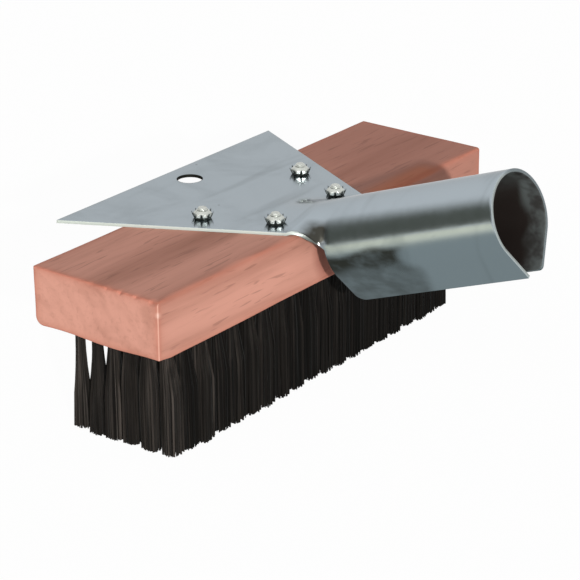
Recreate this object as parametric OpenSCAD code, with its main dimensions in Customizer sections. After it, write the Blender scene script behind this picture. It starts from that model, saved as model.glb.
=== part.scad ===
// Wire scratch brush with a sheet-metal scraper and a rolled socket for a broom handle.
// Working axes: X along the block, +Y to the blade edge, -Y to the handle, Z up,
// with zero at the middle of the block's top face. placed() then moves every node so
// that the wire tips stand on Z = 0 and the origin is the middle of the footprint.

/* [Wooden block] */
// Length of the block
block_l = 254; // [236:1:320]
// Width of the block
block_w = 73; // [66:1:90]
// Thickness of the block
block_t = 29; // [20:0.5:40]
// Width of the small chamfer along every edge of the block
block_edge = 0.8; // [0.2:0.1:1.5]

/* [Wire tufts] */
// Free length of the wire under the block
wire_l = 54; // [30:1:80]
// Number of tufts in a row
tuft_cols = 20; // [14:1:20]
// Distance between the first and the last tuft of a row
field_l = 220; // [180:1:232]
// Distance between the first and the last row
field_w = 50.4; // [44:0.2:54]
// Diameter of a tuft where it leaves the wood
tuft_d = 5.2; // [3.5:0.1:5.4]
// How far under the wood the tufts at the rim have spread to their full size
spread_l = 26; // [10:1:28]
// Slit between the strands of a tuft
strand_slit = 0.5; // [0.2:0.1:1]
// Slit between the tips of two tufts
tip_slit = 0.9; // [0.5:0.1:2]
// How much shorter than the longest the shortest wire is
ragged = 3.5; // [0:0.5:8]
// Depth of the face that the wire tips are trimmed to
trim = 0.5; // [0.1:0.1:1]
// Thickness of the wood that each row of tufts is set in
root_t = 3.5; // [3:0.5:6]

/* [Scraper sheet] */
// Thickness of the sheet
sheet_t = 1.5; // [1:0.1:2]
// Width of the scraping edge
blade_w = 162; // [120:1:200]
// Distance from the middle of the block to the scraping edge
blade_y = 64; // [59:1:90]
// Width of the neck between the blade and the socket
neck_w = 62; // [60:1:72]
// Distance from the middle of the block back to the neck
neck_y = 32.5; // [30:0.5:34]
// Diameter of the hanging hole
hang_d = 12.5; // [6:0.5:16]
// Distance from the middle of the block to the hanging hole
hang_y = 50; // [46:0.5:54]

/* [Handle socket] */
// Outer radius of the rolled arch
socket_r = 21; // [19:0.5:23]
// Length of the rolled socket
socket_l = 97; // [60:1:130]
// Tilt of the socket up from the blade
socket_tilt = 20; // [14:1:24]
// Depth of the socket's centre line under the block's top face, square to the line
socket_sink = 24.6; // [23:0.2:27]
// Distance along the centre line from the middle of the block to the socket
socket_start = 42; // [41:0.5:48]
// Half the angle that the round arch covers
arch_angle = 126; // [110:1:135]
// Width of the two flat flaps that close on the handle
flap_w = 18.6; // [10:0.2:20]
// Radius of the flaps' lower corners at the neck
neck_corner_r = 4.5; // [1:0.5:8]
// Radius of the lower corner of the far flap at the mouth
mouth_corner_r = 2; // [0.5:0.5:6]

/* [Fasteners] */
// Diameter of the bolts
bolt_d = 4.8; // [3.8:0.1:5]
// Clearance of the bolts in their holes, on the radius
hole_clear = 0.2; // [0.1:0.05:0.5]
// Clearance of the bolts in the nuts, on the radius
thread_clear = 0.05; // [0.02:0.01:0.15]
// Length of bolt that shows above a nut
bolt_end = 1.3; // [0.8:0.1:4]
// Diameter of the bolt heads
head_d = 7.9; // [7:0.1:8]
// Height of the bolt heads
head_h = 2.8; // [2:0.1:3]
// Clearance round the heads in their pockets, on the radius
head_clear = 0.2; // [0.1:0.05:0.4]
// Width of the nuts across flats
nut_af = 8; // [7.5:0.1:9.5]
// Height of the nuts
nut_h = 3; // [2:0.1:4]
// Outer diameter of the toothed lock washers
star_d = 10.4; // [9.5:0.1:12]
// Thickness of the toothed lock washers over the twisted teeth
star_t = 0.9; // [0.7:0.1:1.2]
// Number of teeth on a lock washer
star_teeth = 10; // [6:1:12]
// Twist of the teeth
tooth_twist = 22; // [10:1:26]
// Distance of the blade-side bolts from the middle of the block, along it
front_x = 38; // [34:0.5:46]
// Distance of the blade-side bolts from the middle of the block, across it
front_y = 11; // [8:0.5:16]
// Distance of the handle-side bolts from the middle of the block, along it
rear_x = 23.5; // [22:0.5:24]
// Distance of the handle-side bolts from the middle of the block, across it
rear_y = 21; // [20:0.5:21]

/* [Hidden] */

wood = [0.80, 0.57, 0.50];
wire = [0.13, 0.13, 0.13];
zinc = [0.68, 0.71, 0.74];
steel = [0.83, 0.84, 0.85];

$fn = 96;
overrun = 1;

// One node a row of tufts, numbered from the handle to the blade
tuft_rows = 6;

// Spacing of the tufts, and the strip of wood that each row is set in
pitch_x = field_l / (tuft_cols - 1);
pitch_y = field_w / (tuft_rows - 1);
strip_l = field_l + pitch_x;
strips_w = field_w + pitch_y;

// Bolts: places, hole and pocket radii, and the length between head and end
front_left = [-front_x, front_y];
front_right = [front_x, front_y];
rear_left = [-rear_x, -rear_y];
rear_right = [rear_x, -rear_y];
bolt_places = [front_left, front_right, rear_left, rear_right];
hole_r = bolt_d / 2 + hole_clear;
pocket_r = head_d / 2 + head_clear;
grip_l = block_t - root_t + sheet_t + star_t + nut_h;

// Directions in the plane that halves the part: along the socket, and out of its crown
along = [-cos(socket_tilt), sin(socket_tilt)];
outward = [sin(socket_tilt), cos(socket_tilt)];
function in_socket(u, v, s) = [
    u,
    s * along[0] + v * outward[0],
    s * along[1] + v * outward[1]
];

// Socket section: the centre, the crown and the end of each flap, on the outer face
arch_v = -socket_sink;
crown_v = arch_v + socket_r;
mouth_s = socket_start + socket_l;
flap_end_v = arch_v + socket_r * cos(arch_angle) - flap_w * sin(arch_angle);
mouth_low_y = mouth_s * along[0] + flap_end_v * outward[0];

// Where the crown line, drawn on to the blade, would meet its top face
crown_meets_s = (sheet_t - crown_v * outward[1]) / along[1];
crown_meets_y = in_socket(0, crown_v, crown_meets_s)[1];
crown_end = in_socket(0, crown_v, socket_start);

// Middle of the footprint, and height of the block's top face over the wire tips
origin_y = (blade_y + mouth_low_y) / 2;
top_z = wire_l + block_t;

module placed() {
    translate([0, -origin_y, top_z]) children();
}

// A box centred on X and Y, from Z = 0 up, with a chamfer along every edge
function chamfered(l, w, c) = [
    [-l / 2 + c, -w / 2], [l / 2 - c, -w / 2], [l / 2, -w / 2 + c], [l / 2, w / 2 - c],
    [l / 2 - c, w / 2], [-l / 2 + c, w / 2], [-l / 2, w / 2 - c], [-l / 2, -w / 2 + c]
];

module chamfered_box(l, w, h, c) {
    intersection() {
        linear_extrude(h) polygon(chamfered(l, w, c));
        translate([0, w / 2, h / 2]) rotate([90, 0, 0])
            linear_extrude(w) polygon(chamfered(l, h, c));
        translate([-l / 2, 0, h / 2]) rotate([90, 0, 90])
            linear_extrude(l) polygon(chamfered(w, h, c));
    }
}

module wood_block() {
    color(wood) placed() difference() {
        translate([0, 0, -block_t]) chamfered_box(block_l, block_w, block_t, block_edge);
        // The bed of the tufts, which the strips of the six rows fill
        translate([-strip_l / 2, -strips_w / 2, -block_t - overrun])
            cube([strip_l, strips_w, root_t + overrun]);
        for (at = bolt_places)
            translate([at[0], at[1], -block_t])
                cylinder(r = hole_r, h = block_t + overrun);
    }
}

// The sheet is flat from the blade to sheet_bend_y. From there the form rises at the
// middle, widens to the neck and rolls down into the socket's arch. Ring by ring it is
// given by a crown point, an edge point and a section between the two.
bend_lead_share = 0.38;
hump_start_share = 0.4;
hump_start_w = socket_r * hump_start_share;
sheet_bend_y = crown_meets_y + socket_r * bend_lead_share;
blade_rings = 8;
neck_rings = 8;
half_columns = 12;
neck_angle = neck_w / 2 / socket_r * 180 / PI;
neck_edge = [neck_w / 2, -neck_y, sheet_t];
socket_edge = in_socket(
    socket_r * sin(neck_angle),
    arch_v + socket_r * cos(neck_angle),
    socket_start
);
edge_run = socket_edge - neck_edge;
edge_leave_shares = [0.25, 0.38, -0.42];
edge_arrive_shares = [0.3, 0.36, 0.62];

function mix(a, b, t) = a + (b - a) * t;
function smooth(t) = t * t * (3 - 2 * t);
function scaled(v, shares) = [for (i = [0:2]) v[i] * shares[i]];

// Half the width of the blade at a distance y from the middle of the block
function blade_half(y) = mix(neck_w / 2, blade_w / 2, (y + neck_y) / (blade_y + neck_y));

// Crown: a parabola from the flat sheet into the straight crown of the socket
function crown_y(t) =
    sheet_bend_y * pow(1 - t, 2) + 2 * crown_meets_y * t * (1 - t) + crown_end[1] * t * t;
function crown_z(t) = sheet_t + (crown_end[2] - sheet_t) * t * t;
crown_a = sheet_bend_y - 2 * crown_meets_y + crown_end[1];
crown_b = 2 * (crown_meets_y - sheet_bend_y);
function crown_t(y) =
    (-crown_b - sqrt(crown_b * crown_b - 4 * crown_a * (sheet_bend_y - y))) / (2 * crown_a);
neck_t = crown_t(-neck_y);

// Free edge of the neck: a cubic curve from the end of the blade to the socket
edge_1 = neck_edge + scaled(edge_run, edge_leave_shares);
edge_2 = socket_edge - scaled(edge_run, edge_arrive_shares);
function edge_at(t) =
    neck_edge * pow(1 - t, 3) + 3 * edge_1 * t * pow(1 - t, 2)
    + 3 * edge_2 * t * t * (1 - t) + socket_edge * pow(t, 3);

// Sections: a is -1 at one edge, 0 at the crown and 1 at the other edge
function bell(share) = (1 - cos(180 * min(1, abs(share)))) / 2;
function blade_point(a, q) =
    let (y = mix(sheet_bend_y, -neck_y, q), half = blade_half(y))
    let (hump = mix(hump_start_w, half, pow(q, 4)) / half)
    [a * half, y, mix(crown_z(crown_t(y)), sheet_t, bell(a / hump))];
function neck_point(a, q) =
    let (t = mix(neck_t, 1, q), edge = edge_at(q), k = smooth(q))
    let (across = mix(a, sin(neck_angle * a) / sin(neck_angle), k))
    let (down = mix(bell(a), (1 - cos(neck_angle * a)) / (1 - cos(neck_angle)), k))
    [edge[0] * across, mix(crown_y(t), edge[1], down), mix(crown_z(t), edge[2], down)];
function arch_normal(a) = in_socket(sin(neck_angle * a), cos(neck_angle * a), 0);
// The last two rings, just before the arch's end and inside its wall, are a little
// thinner than the wall
lap_shares = [-0.1, 1];
lap_inset_share = 0.035;
lap_inset = sheet_t * lap_inset_share;
function lap_point(a, reach) =
    neck_point(a, 1) - lap_inset * arch_normal(a) + in_socket(0, 0, reach);
across_shares = [for (j = [-half_columns:half_columns]) j / half_columns];
form = [
    for (i = [0:blade_rings]) [for (a = across_shares) blade_point(a, i / blade_rings)],
    for (i = [1:neck_rings - 1]) [for (a = across_shares) neck_point(a, i / neck_rings)],
    for (share = lap_shares) [for (a = across_shares) lap_point(a, sheet_t * share)]
];
form_rings = len(form);
form_columns = len(across_shares);

// The lower face lies one sheet thickness under the upper one, square to it
function unit(v) = v / norm(v);
function slope_normal(i, j) = unit(cross(
    form[i + 1][j] - form[i - 1][j],
    form[i][min(j + 1, form_columns - 1)] - form[i][max(j - 1, 0)]
));
function lower_point(i, j) =
    i == 0 ? form[i][j] - [0, 0, sheet_t]
    : i < form_rings - 2 ? form[i][j] - sheet_t * slope_normal(i, j)
    : form[i][j] - (sheet_t - 2 * lap_inset) * arch_normal(across_shares[j]);
form_under = [for (i = [0:form_rings - 1]) [for (j = [0:form_columns - 1]) lower_point(i, j)]];

module neck_form() {
    under = form_rings * form_columns;
    function at(i, j) = i * form_columns + j;
    last_i = form_rings - 1;
    last_j = form_columns - 1;
    quads = [
        for (i = [0:last_i - 1], j = [0:last_j - 1])
            [at(i, j), at(i, j + 1), at(i + 1, j + 1), at(i + 1, j)],
        for (i = [0:last_i - 1], j = [0:last_j - 1])
            [under + at(i, j), under + at(i + 1, j),
             under + at(i + 1, j + 1), under + at(i, j + 1)],
        for (i = [0:last_i - 1])
            [at(i, 0), at(i + 1, 0), under + at(i + 1, 0), under + at(i, 0)],
        for (i = [0:last_i - 1])
            [at(i + 1, last_j), at(i, last_j),
             under + at(i, last_j), under + at(i + 1, last_j)],
        for (j = [0:last_j - 1])
            [at(0, j + 1), at(0, j), under + at(0, j), under + at(0, j + 1)],
        for (j = [0:last_j - 1])
            [at(last_i, j), at(last_i, j + 1),
             under + at(last_i, j + 1), under + at(last_i, j)]
    ];
    polyhedron(
        points = [for (ring = form) each ring, for (ring = form_under) each ring],
        faces = [for (q = quads) each [[q[0], q[1], q[2]], [q[0], q[2], q[3]]]]
    );
}

module blade() {
    linear_extrude(sheet_t) difference() {
        polygon([
            [-blade_w / 2, blade_y], [-blade_half(sheet_bend_y), sheet_bend_y],
            [blade_half(sheet_bend_y), sheet_bend_y], [blade_w / 2, blade_y]
        ]);
        translate([0, hang_y]) circle(d = hang_d);
    }
}

// Points of a rectangle whose free edge runs along X = 0, with that edge's two corners
// rounded. A corner of radius zero is a single point.
corner_steps = 6;
function corner_turns(r) = r > 0 ? [for (i = [0:corner_steps]) 90 * i / corner_steps] : [0];
function flap_outline(l, w, r_low, r_high) = [
    [w, 0],
    [w, l],
    for (a = corner_turns(r_high)) [r_high * (1 - sin(a)), l - r_high * (1 - cos(a))],
    for (a = corner_turns(r_low)) [r_low * (1 - cos(a)), r_low * (1 - sin(a))]
];

// One flat flap, from inside the end of the arch's wall to its free edge, on the side
// of +X. It is as much thinner than the wall as the form's last rings are.
flap_lap_share = 0.3;
module flap(mouth_r) {
    joint_w = flap_w + sheet_t * flap_lap_share;
    translate([0, arch_v, 0]) rotate([0, 0, -arch_angle])
        translate([flap_w, socket_r - lap_inset, 0]) rotate([90, 0, 0])
            linear_extrude(sheet_t - 2 * lap_inset) mirror([1, 0])
                polygon(flap_outline(socket_l, joint_w, neck_corner_r, mouth_r));
}

module arch() {
    reach = 2 * socket_r;
    translate([0, arch_v, 0]) linear_extrude(socket_l) difference() {
        circle(r = socket_r);
        circle(r = socket_r - sheet_t);
        for (side = [0, 1]) mirror([side, 0]) rotate([0, 0, -arch_angle]) square(reach);
    }
}

module scraper_sheet() {
    color(zinc) placed() difference() {
        union() {
            blade();
            neck_form();
            translate(in_socket(0, 0, socket_start)) rotate([90 - socket_tilt, 0, 0]) {
                arch();
                flap(mouth_corner_r);
                mirror([1, 0, 0]) flap(0);
            }
        }
        for (at = bolt_places)
            translate([at[0], at[1], -overrun]) cylinder(r = hole_r, h = sheet_t + 2 * overrun);
    }
}

// A slotted cheese-head bolt from below, its head in the pocket between the tufts
slot_w_share = 0.16;
slot_depth_share = 0.4;
bolt_tip_share = 0.12;
bolt_tip = bolt_d * bolt_tip_share;
module bolt(at) {
    color(steel) placed() translate([at[0], at[1], root_t - block_t]) {
        difference() {
            translate([0, 0, -head_h]) cylinder(d = head_d, h = head_h);
            translate([-head_d / 2 - overrun, -head_d * slot_w_share / 2, -head_h - overrun])
                cube([head_d + 2 * overrun, head_d * slot_w_share,
                      head_h * slot_depth_share + overrun]);
        }
        cylinder(d = bolt_d, h = grip_l + bolt_end - bolt_tip);
        translate([0, 0, grip_l + bolt_end - bolt_tip])
            cylinder(d1 = bolt_d, d2 = bolt_d - 2 * bolt_tip, h = bolt_tip);
    }
}

// A hexagon nut with its upper corners turned down
nut_corner_d = nut_af / cos(30);
nut_chamfer_share = 0.5;
nut_chamfer = (nut_corner_d - nut_af) * nut_chamfer_share;
module nut(at) {
    color(steel) placed() translate([at[0], at[1], sheet_t + star_t]) difference() {
        intersection() {
            cylinder(d = nut_corner_d, h = nut_h, $fn = 6);
            union() {
                cylinder(d = nut_corner_d + nut_chamfer, h = nut_h - nut_chamfer);
                translate([0, 0, nut_h - nut_chamfer])
                    cylinder(d1 = nut_corner_d + nut_chamfer, d2 = nut_af, h = nut_chamfer);
            }
        }
        translate([0, 0, -overrun])
            cylinder(r = bolt_d / 2 + thread_clear, h = nut_h + 2 * overrun);
    }
}

// A lock washer with twisted teeth round its rim, which dig into the nut and the sheet
star_ring_share = 0.37;
tooth_w_share = 0.125;
star_ring_r = star_d * star_ring_share;
tooth_w = star_d * tooth_w_share;
tooth_t = (star_t - tooth_w * sin(tooth_twist)) / cos(tooth_twist);
module lock_washer(at) {
    color(steel) placed() translate([at[0], at[1], sheet_t]) {
        difference() {
            cylinder(r = star_ring_r, h = star_t);
            translate([0, 0, -overrun]) cylinder(r = hole_r, h = star_t + 2 * overrun);
        }
        for (i = [0:star_teeth - 1])
            rotate([0, 0, i * 360 / star_teeth]) translate([0, 0, star_t / 2])
                rotate([tooth_twist, 0, 0]) translate([hole_r + hole_clear, -tooth_w / 2, -tooth_t / 2])
                    cube([star_d / 2 - hole_r - hole_clear, tooth_w, tooth_t]);
    }
}

// One tuft is four strands, each a quarter of a bundle that is round where it leaves
// the wood and spreads until it nearly meets its neighbours. At the rim of the field it
// has spread at spread_l and then hangs straight down, and inside it spreads to the tips.
// Tips end at uneven heights, and the longest are trimmed to one plane.
root_bite_share = 0.3;
root_z = wire_l + root_t * root_bite_share;
root_corner_share = 0.707;
tip_corner_share = 0.88;
root_half = [tuft_d / 2, tuft_d / 2];
tip_half = [(pitch_x - tip_slit) / 2, (pitch_y - tip_slit) / 2];
trimmed_share = 0.55;
uneven_turn = 77.7;
uneven_gain = 43.7;
function uneven(n) = let (v = abs(sin(n * uneven_turn) * uneven_gain)) v - floor(v);
function tip_level(n) =
    ragged * max(0, uneven(n) - trimmed_share) / (1 - trimmed_share) - trim;
function quarter(half, corner, qx, qy) = let (g = strand_slit / 2) [
    [qx * g, qy * g], [qx * half[0], qy * g],
    [qx * half[0] * corner, qy * half[1] * corner], [qx * g, qy * half[1]]
];
function at_rim(row, i) = row == 1 || row == tuft_rows || i == 0 || i == tuft_cols - 1;
function levels(low, rim) = rim ? [root_z, wire_l - spread_l, max(0, low)] : [root_z, max(0, low)];
function strand_points(at, rim, low, qx, qy) =
    let (spread_z = rim ? wire_l - spread_l : low)
    [for (z = levels(low, rim))
        let (share = min(1, (root_z - z) / (root_z - spread_z)))
        let (half = mix(root_half, tip_half, share))
        let (corner = mix(root_corner_share, tip_corner_share, share))
        for (p = quarter(half, corner, qx, qy)) [at[0] + p[0], at[1] + p[1], z - top_z]];
function strand_faces(rings) = [
    [2, 1, 0], [3, 2, 0],
    for (k = [0:rings - 2], c = [0:3])
        let (n = (c + 1) % 4)
        each [[4 * k + n, 4 * k + 4 + c, 4 * k + c], [4 * k + n, 4 * k + 4 + n, 4 * k + 4 + c]],
    4 * (rings - 1) * [1, 1, 1] + [0, 1, 2], 4 * (rings - 1) * [1, 1, 1] + [0, 2, 3]
];
function flipped(faces) = [for (f = faces) [f[2], f[1], f[0]]];
quarters = [[1, 1], [-1, 1], [-1, -1], [1, -1]];
function row_y(row) = (row - (tuft_rows + 1) / 2) * pitch_y;
function clear_of_bolts(at) =
    min([for (b = bolt_places) norm(at - b)]) >= pocket_r + tuft_d / 2;

// Every tuft of a row: its place, and whether it is at the rim
function tufts(row) = [
    for (i = [0:tuft_cols - 1])
        let (at = [(i - (tuft_cols - 1) / 2) * pitch_x, row_y(row)])
        if (clear_of_bolts(at)) [at, at_rim(row, i)]
];

module strands(row) {
    places = tufts(row);
    each_strand = [for (i = [0:len(places) - 1], k = [0:3]) [places[i], k, (row * 100 + i) * 4 + k]];
    rings = [for (t = each_strand) t[0][1] ? 3 : 2];
    first = [for (n = 0, sum = 0; n < len(rings); sum = sum + 4 * rings[n], n = n + 1) sum];
    polyhedron(
        points = [for (t = each_strand) each strand_points(
            t[0][0], t[0][1], tip_level(t[2]), quarters[t[1]][0], quarters[t[1]][1]
        )],
        faces = [for (n = [0:len(each_strand) - 1])
            let (faces = strand_faces(rings[n]))
            each [for (f = each_strand[n][1] % 2 == 0 ? faces : flipped(faces))
                f + first[n] * [1, 1, 1]]]
    );
}

module bristle_row(row) {
    color(wire) placed() union() {
        difference() {
            translate([-strip_l / 2, row_y(row) - pitch_y / 2, -block_t])
                cube([strip_l, pitch_y, root_t]);
            for (at = bolt_places)
                translate([at[0], at[1], -block_t - overrun])
                    cylinder(r = pocket_r, h = root_t + 2 * overrun);
        }
        strands(row);
    }
}

wood_block();
scraper_sheet();
bolt(front_left);  // bolt_front_left
bolt(front_right);  // bolt_front_right
bolt(rear_left);  // bolt_rear_left
bolt(rear_right);  // bolt_rear_right
nut(front_left);  // nut_front_left
nut(front_right);  // nut_front_right
nut(rear_left);  // nut_rear_left
nut(rear_right);  // nut_rear_right
lock_washer(front_left);  // lock_washer_front_left
lock_washer(front_right);  // lock_washer_front_right
lock_washer(rear_left);  // lock_washer_rear_left
lock_washer(rear_right);  // lock_washer_rear_right
bristle_row(1);  // bristle_row_1
bristle_row(2);  // bristle_row_2
bristle_row(3);  // bristle_row_3
bristle_row(4);  // bristle_row_4
bristle_row(5);  // bristle_row_5
bristle_row(6);  // bristle_row_6
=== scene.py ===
"""Wire scratch brush with a sheet-metal scraper that rolls into a socket for a handle.

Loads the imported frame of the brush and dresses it: a worn hardwood block, a galvanized
scraper, zinc-plated bolts, nuts and toothed lock washers, six rows of flat steel wire,
and the plain white studio that the brush stands in.
"""

import math

import bmesh
import bpy
import numpy as np
from mathutils import Matrix, Vector


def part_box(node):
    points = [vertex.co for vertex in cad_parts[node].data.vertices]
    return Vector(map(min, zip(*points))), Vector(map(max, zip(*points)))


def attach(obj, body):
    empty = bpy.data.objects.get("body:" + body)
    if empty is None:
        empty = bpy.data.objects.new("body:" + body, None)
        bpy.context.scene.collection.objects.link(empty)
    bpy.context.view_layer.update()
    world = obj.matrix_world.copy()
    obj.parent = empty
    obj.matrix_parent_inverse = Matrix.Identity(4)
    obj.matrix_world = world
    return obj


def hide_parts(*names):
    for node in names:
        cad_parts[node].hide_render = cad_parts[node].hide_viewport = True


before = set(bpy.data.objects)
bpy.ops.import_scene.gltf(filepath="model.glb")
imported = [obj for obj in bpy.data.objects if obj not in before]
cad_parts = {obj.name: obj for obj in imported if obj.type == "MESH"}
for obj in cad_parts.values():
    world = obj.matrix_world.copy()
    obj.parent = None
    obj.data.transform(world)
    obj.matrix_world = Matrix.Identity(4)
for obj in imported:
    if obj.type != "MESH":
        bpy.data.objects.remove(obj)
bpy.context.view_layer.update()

bl_info = {
    "name": "Scratch Brush",
    "version": (1, 0, 0),
    "blender": (4, 5, 0),
    "location": "View3D > Sidebar > Brush",
    "description": "Builds a wire scratch brush with a scraper and its studio",
    "category": "Object",
}

MM = 0.001
BODY = "root"
BLOCK_LOW, BLOCK_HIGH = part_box("wood_block")
SHEET_LOW, SHEET_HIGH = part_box("scraper_sheet")
PLACES = ("front_left", "front_right", "rear_left", "rear_right")
ROWS = sorted(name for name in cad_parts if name.startswith("bristle_row"))

# Shapes are worked out from the middle of the block's top face, then moved there
TOP = np.array([0.0, (BLOCK_LOW.y + BLOCK_HIGH.y) / 2, BLOCK_HIGH.z])

# The corners of a square, in order
SQUARE = ((-1, -1), (1, -1), (1, 1), (-1, 1))


def length(name, description, default):
    """A size in metres."""
    return bpy.props.FloatProperty(
        name=name, description=description, default=default, precision=5, unit="LENGTH"
    )


def angle(name, description, degrees):
    """An angle, written here in degrees."""
    return bpy.props.FloatProperty(
        name=name, description=description, default=math.radians(degrees),
        subtype="ANGLE", unit="ROTATION",
    )


def share(name, description, default):
    """A plain number without a unit."""
    return bpy.props.FloatProperty(name=name, description=description, default=default)


def count(name, description, default):
    """A whole number."""
    return bpy.props.IntProperty(name=name, description=description, default=default)


def colour(name, description, default):
    """A linear colour."""
    return bpy.props.FloatVectorProperty(
        name=name, description=description, default=default, size=3, subtype="COLOR",
        min=0, max=1,
    )


class BlockSettings(bpy.types.PropertyGroup):
    """The hardwood block."""

    edge_radius: length("Edge radius", "Rounding of the sawn edges", 0.7 * MM)
    worn_radius: length("Worn radius", "Rounding of the top edge on the handle side", 2.2 * MM)
    knocked_radius: length("Knocked radius", "Rounding of the knocked lower corner", 4.6 * MM)
    waviness: length("Waviness", "Depth of the unevenness of the faces", 0.12 * MM)
    split_depth: length("Split depth", "Depth of the splinters off the end's edge", 2.4 * MM)
    sag_depth: length("Sag depth", "Unevenness of the end's lower edge", 1.0 * MM)
    pocket_depth: length("Pocket depth", "Depth of the pockets round the bolt heads", 3.5 * MM)
    pocket_clearance: length("Pocket clearance", "Gap round a bolt head", 0.2 * MM)
    wood: colour("Wood", "Colour of the planed wood", (0.60, 0.292, 0.222))
    grain: colour("Grain", "Colour of the dark grain", (0.34, 0.15, 0.105))
    darker_wood: colour("Darker_wood", "Colour of the darker wood", (0.30, 0.125, 0.09))
    # Painted light: an orange lit wedge on the top beside the socket, laid where the socket's
    # shadow falls
    painted_light: colour("Painted_light", "Colour of the oiled wood beside the socket", (0.62, 0.17, 0.06))
    # Painted shade: a darker patch on the near side under the socket, deepening the shadow
    # there
    painted_shadow: colour("Painted_shadow", "Colour of the shadowed patch by the socket", (0.26, 0.075, 0.05))
    edge_stain: colour("Edge stain", "Colour of the stained edges", (0.47, 0.165, 0.11))
    # Painted highlight: the light spot and thin light line on the near upright edge
    glint_tint: colour("Glint wood", "Colour of wood laid bare by a chip", (0.84, 0.62, 0.52))


class SheetSettings(bpy.types.PropertyGroup):
    """The scraper sheet and its rolled socket."""

    thickness: length("Thickness", "Thickness of the sheet", 1.5 * MM)
    neck_width: length("Neck width", "Width between the blade and the socket", 62 * MM)
    neck_back: length("Neck", "Distance from the block's middle back to the neck", 32.5 * MM)
    socket_radius: length("Socket radius", "Outer radius of the rolled arch", 21 * MM)
    socket_length: length("Socket length", "Length of the rolled socket", 97 * MM)
    socket_sink: length("Socket sink", "Depth of the socket's centre line", 24.6 * MM)
    socket_start: length("Socket start", "Distance to it along the centre line", 42 * MM)
    tilt: angle("Tilt", "Tilt of the socket up from the blade", 20)
    arch_angle: angle("Arch angle", "Half the angle of the round arch", 126)
    flap_width: length("Flap width", "Width of the flat flaps", 18.6 * MM)
    neck_corner: length("Neck corner", "Rounding of the flaps at the neck", 4.5 * MM)
    mouth_corner: length("Mouth corner", "Rounding of the right flap at the mouth", 2 * MM)
    hole_diameter: length("Hanging hole", "Diameter of the hanging hole", 12.5 * MM)
    hole_forward: length("Hole place", "Distance from the middle to the hanging hole", 50 * MM)
    bolt_hole_gap: length("Bolt hole gap", "Clearance round the bolts", 0.2 * MM)
    rim: length("Rim", "Softening of the cut edges", 0.16 * MM)
    zinc: colour("Zinc", "Colour of the zinc surface", (0.388, 0.44, 0.475))
    smudge: colour("Smudge", "Colour of handling marks", (0.16, 0.19, 0.20))
    grime: colour("Grime", "Colour of the inside of the socket", (0.047, 0.036, 0.032))
    frost: colour("Frost", "Colour of the cleaner zinc inside the mouth", (0.21, 0.235, 0.23))
    # Painted reflection: the start of the dark band beside the neck and dark reflections low
    # on the socket's left
    dark_reflection_tint: colour("Painted_reflection", "Colour of the stain beside the neck", (0.06, 0.059, 0.05))
    cut_edge: colour("Cut edge", "Colour of the cut edges", (0.52, 0.57, 0.53))


class FastenerSettings(bpy.types.PropertyGroup):
    """Bolts, nuts and toothed lock washers."""

    bolt_diameter: length("Bolt diameter", "Outer diameter of the thread", 4.8 * MM)
    pitch: length("Pitch", "Pitch of the thread", 0.8 * MM)
    thread_depth: length("Thread depth", "Depth of the thread", 0.42 * MM)
    nut_width: length("Nut width", "Width of the nuts across flats", 8 * MM)
    tooth_stock: length("Tooth stock", "Thickness of a tooth", 0.5 * MM)
    tooth_rise: length("Tooth rise", "Height that a tooth is bent up", 2.8 * MM)
    teeth: count("Teeth", "Number of teeth on a washer", 8)
    slot_width: length("Slot width", "Width of the slot in a bolt head", 1.25 * MM)
    slot_depth: length("Slot depth", "Depth of the slot in a bolt head", 1.1 * MM)
    plating: colour("Plating", "Colour of the bright plating", (0.55, 0.57, 0.53))
    spring: colour("Spring steel", "Colour of the toothed washers", (0.02, 0.023, 0.02))


class BristleSettings(bpy.types.PropertyGroup):
    """The tufts of flat steel wire."""

    columns: count("Columns", "Number of tufts in a row", 20)
    wires: count("Wires", "Number of wires in a tuft", 64)
    wire_width: length("Wire width", "Width of a flat wire", 0.9 * MM)
    wire_stock: length("Wire stock", "Thickness of a flat wire", 0.34 * MM)
    root_diameter: length("Root diameter", "Diameter of a tuft at the wood", 4.8 * MM)
    spread: length("Spread", "Length over which a tuft spreads", 24 * MM)
    late_spread: length("Late spread", "The same for the tufts at the far corners", 42 * MM)
    tuft_gap: length("Tuft gap", "Gap between the tips of two tufts", 0.3 * MM)
    ragged: length("Ragged", "Unevenness of the tips between tufts", 1.0 * MM)
    wire_ragged: length("Wire ragged", "Unevenness of the tips within a tuft", 0.28 * MM)
    slant: length("Slant", "Rise of a tuft's tips from one side to the other", 0.9 * MM)
    bow: length("Bow", "Sideways bow of a wire", 0.45 * MM)
    flare: length("Flare", "How far the handle-side tips lean outwards", 2.2 * MM)
    crowding: length("Crowding", "How far the tips at a row's ends lean inwards", 5 * MM)
    steel: colour("Steel", "Colour of the dark wire", (0.046, 0.039, 0.034))


class StudioSettings(bpy.types.PropertyGroup):
    """Camera, lamps and backdrop."""

    lens: bpy.props.FloatProperty(
        name="Lens", description="Focal length", default=147.628, unit="CAMERA"
    )
    distance: length("Distance", "Distance from the camera to its target", 1121.01 * MM)
    azimuth: angle("Azimuth", "Turn of the camera from straight behind the handle", -52.639)
    elevation: angle("Elevation", "Height of the camera above the horizon", 22.4545)
    roll: angle("Roll", "Clockwise turn of the camera", 0.398)
    target: bpy.props.FloatVectorProperty(
        name="Target", description="The point at the middle of the picture",
        default=(-18.23 * MM, 17.09 * MM, 50.03 * MM), size=3, subtype="XYZ", unit="LENGTH",
    )
    key_azimuth: angle("Key azimuth", "Turn of the key lamp", -39)
    key_elevation: angle("Key elevation", "Height of the key lamp", 17.5)
    key_strength: share("Key strength", "Strength of the key lamp", 2.8)
    side_strength: share("Side strength", "Strength of the lamp on the end of the block", 0.7)
    sky_strength: share("Sky strength", "Strength of the light from all round", 0.27)


SETTINGS = {
    "brush_block": BlockSettings,
    "brush_sheet": SheetSettings,
    "brush_fasteners": FastenerSettings,
    "brush_bristles": BristleSettings,
    "brush_studio": StudioSettings,
}


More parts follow.
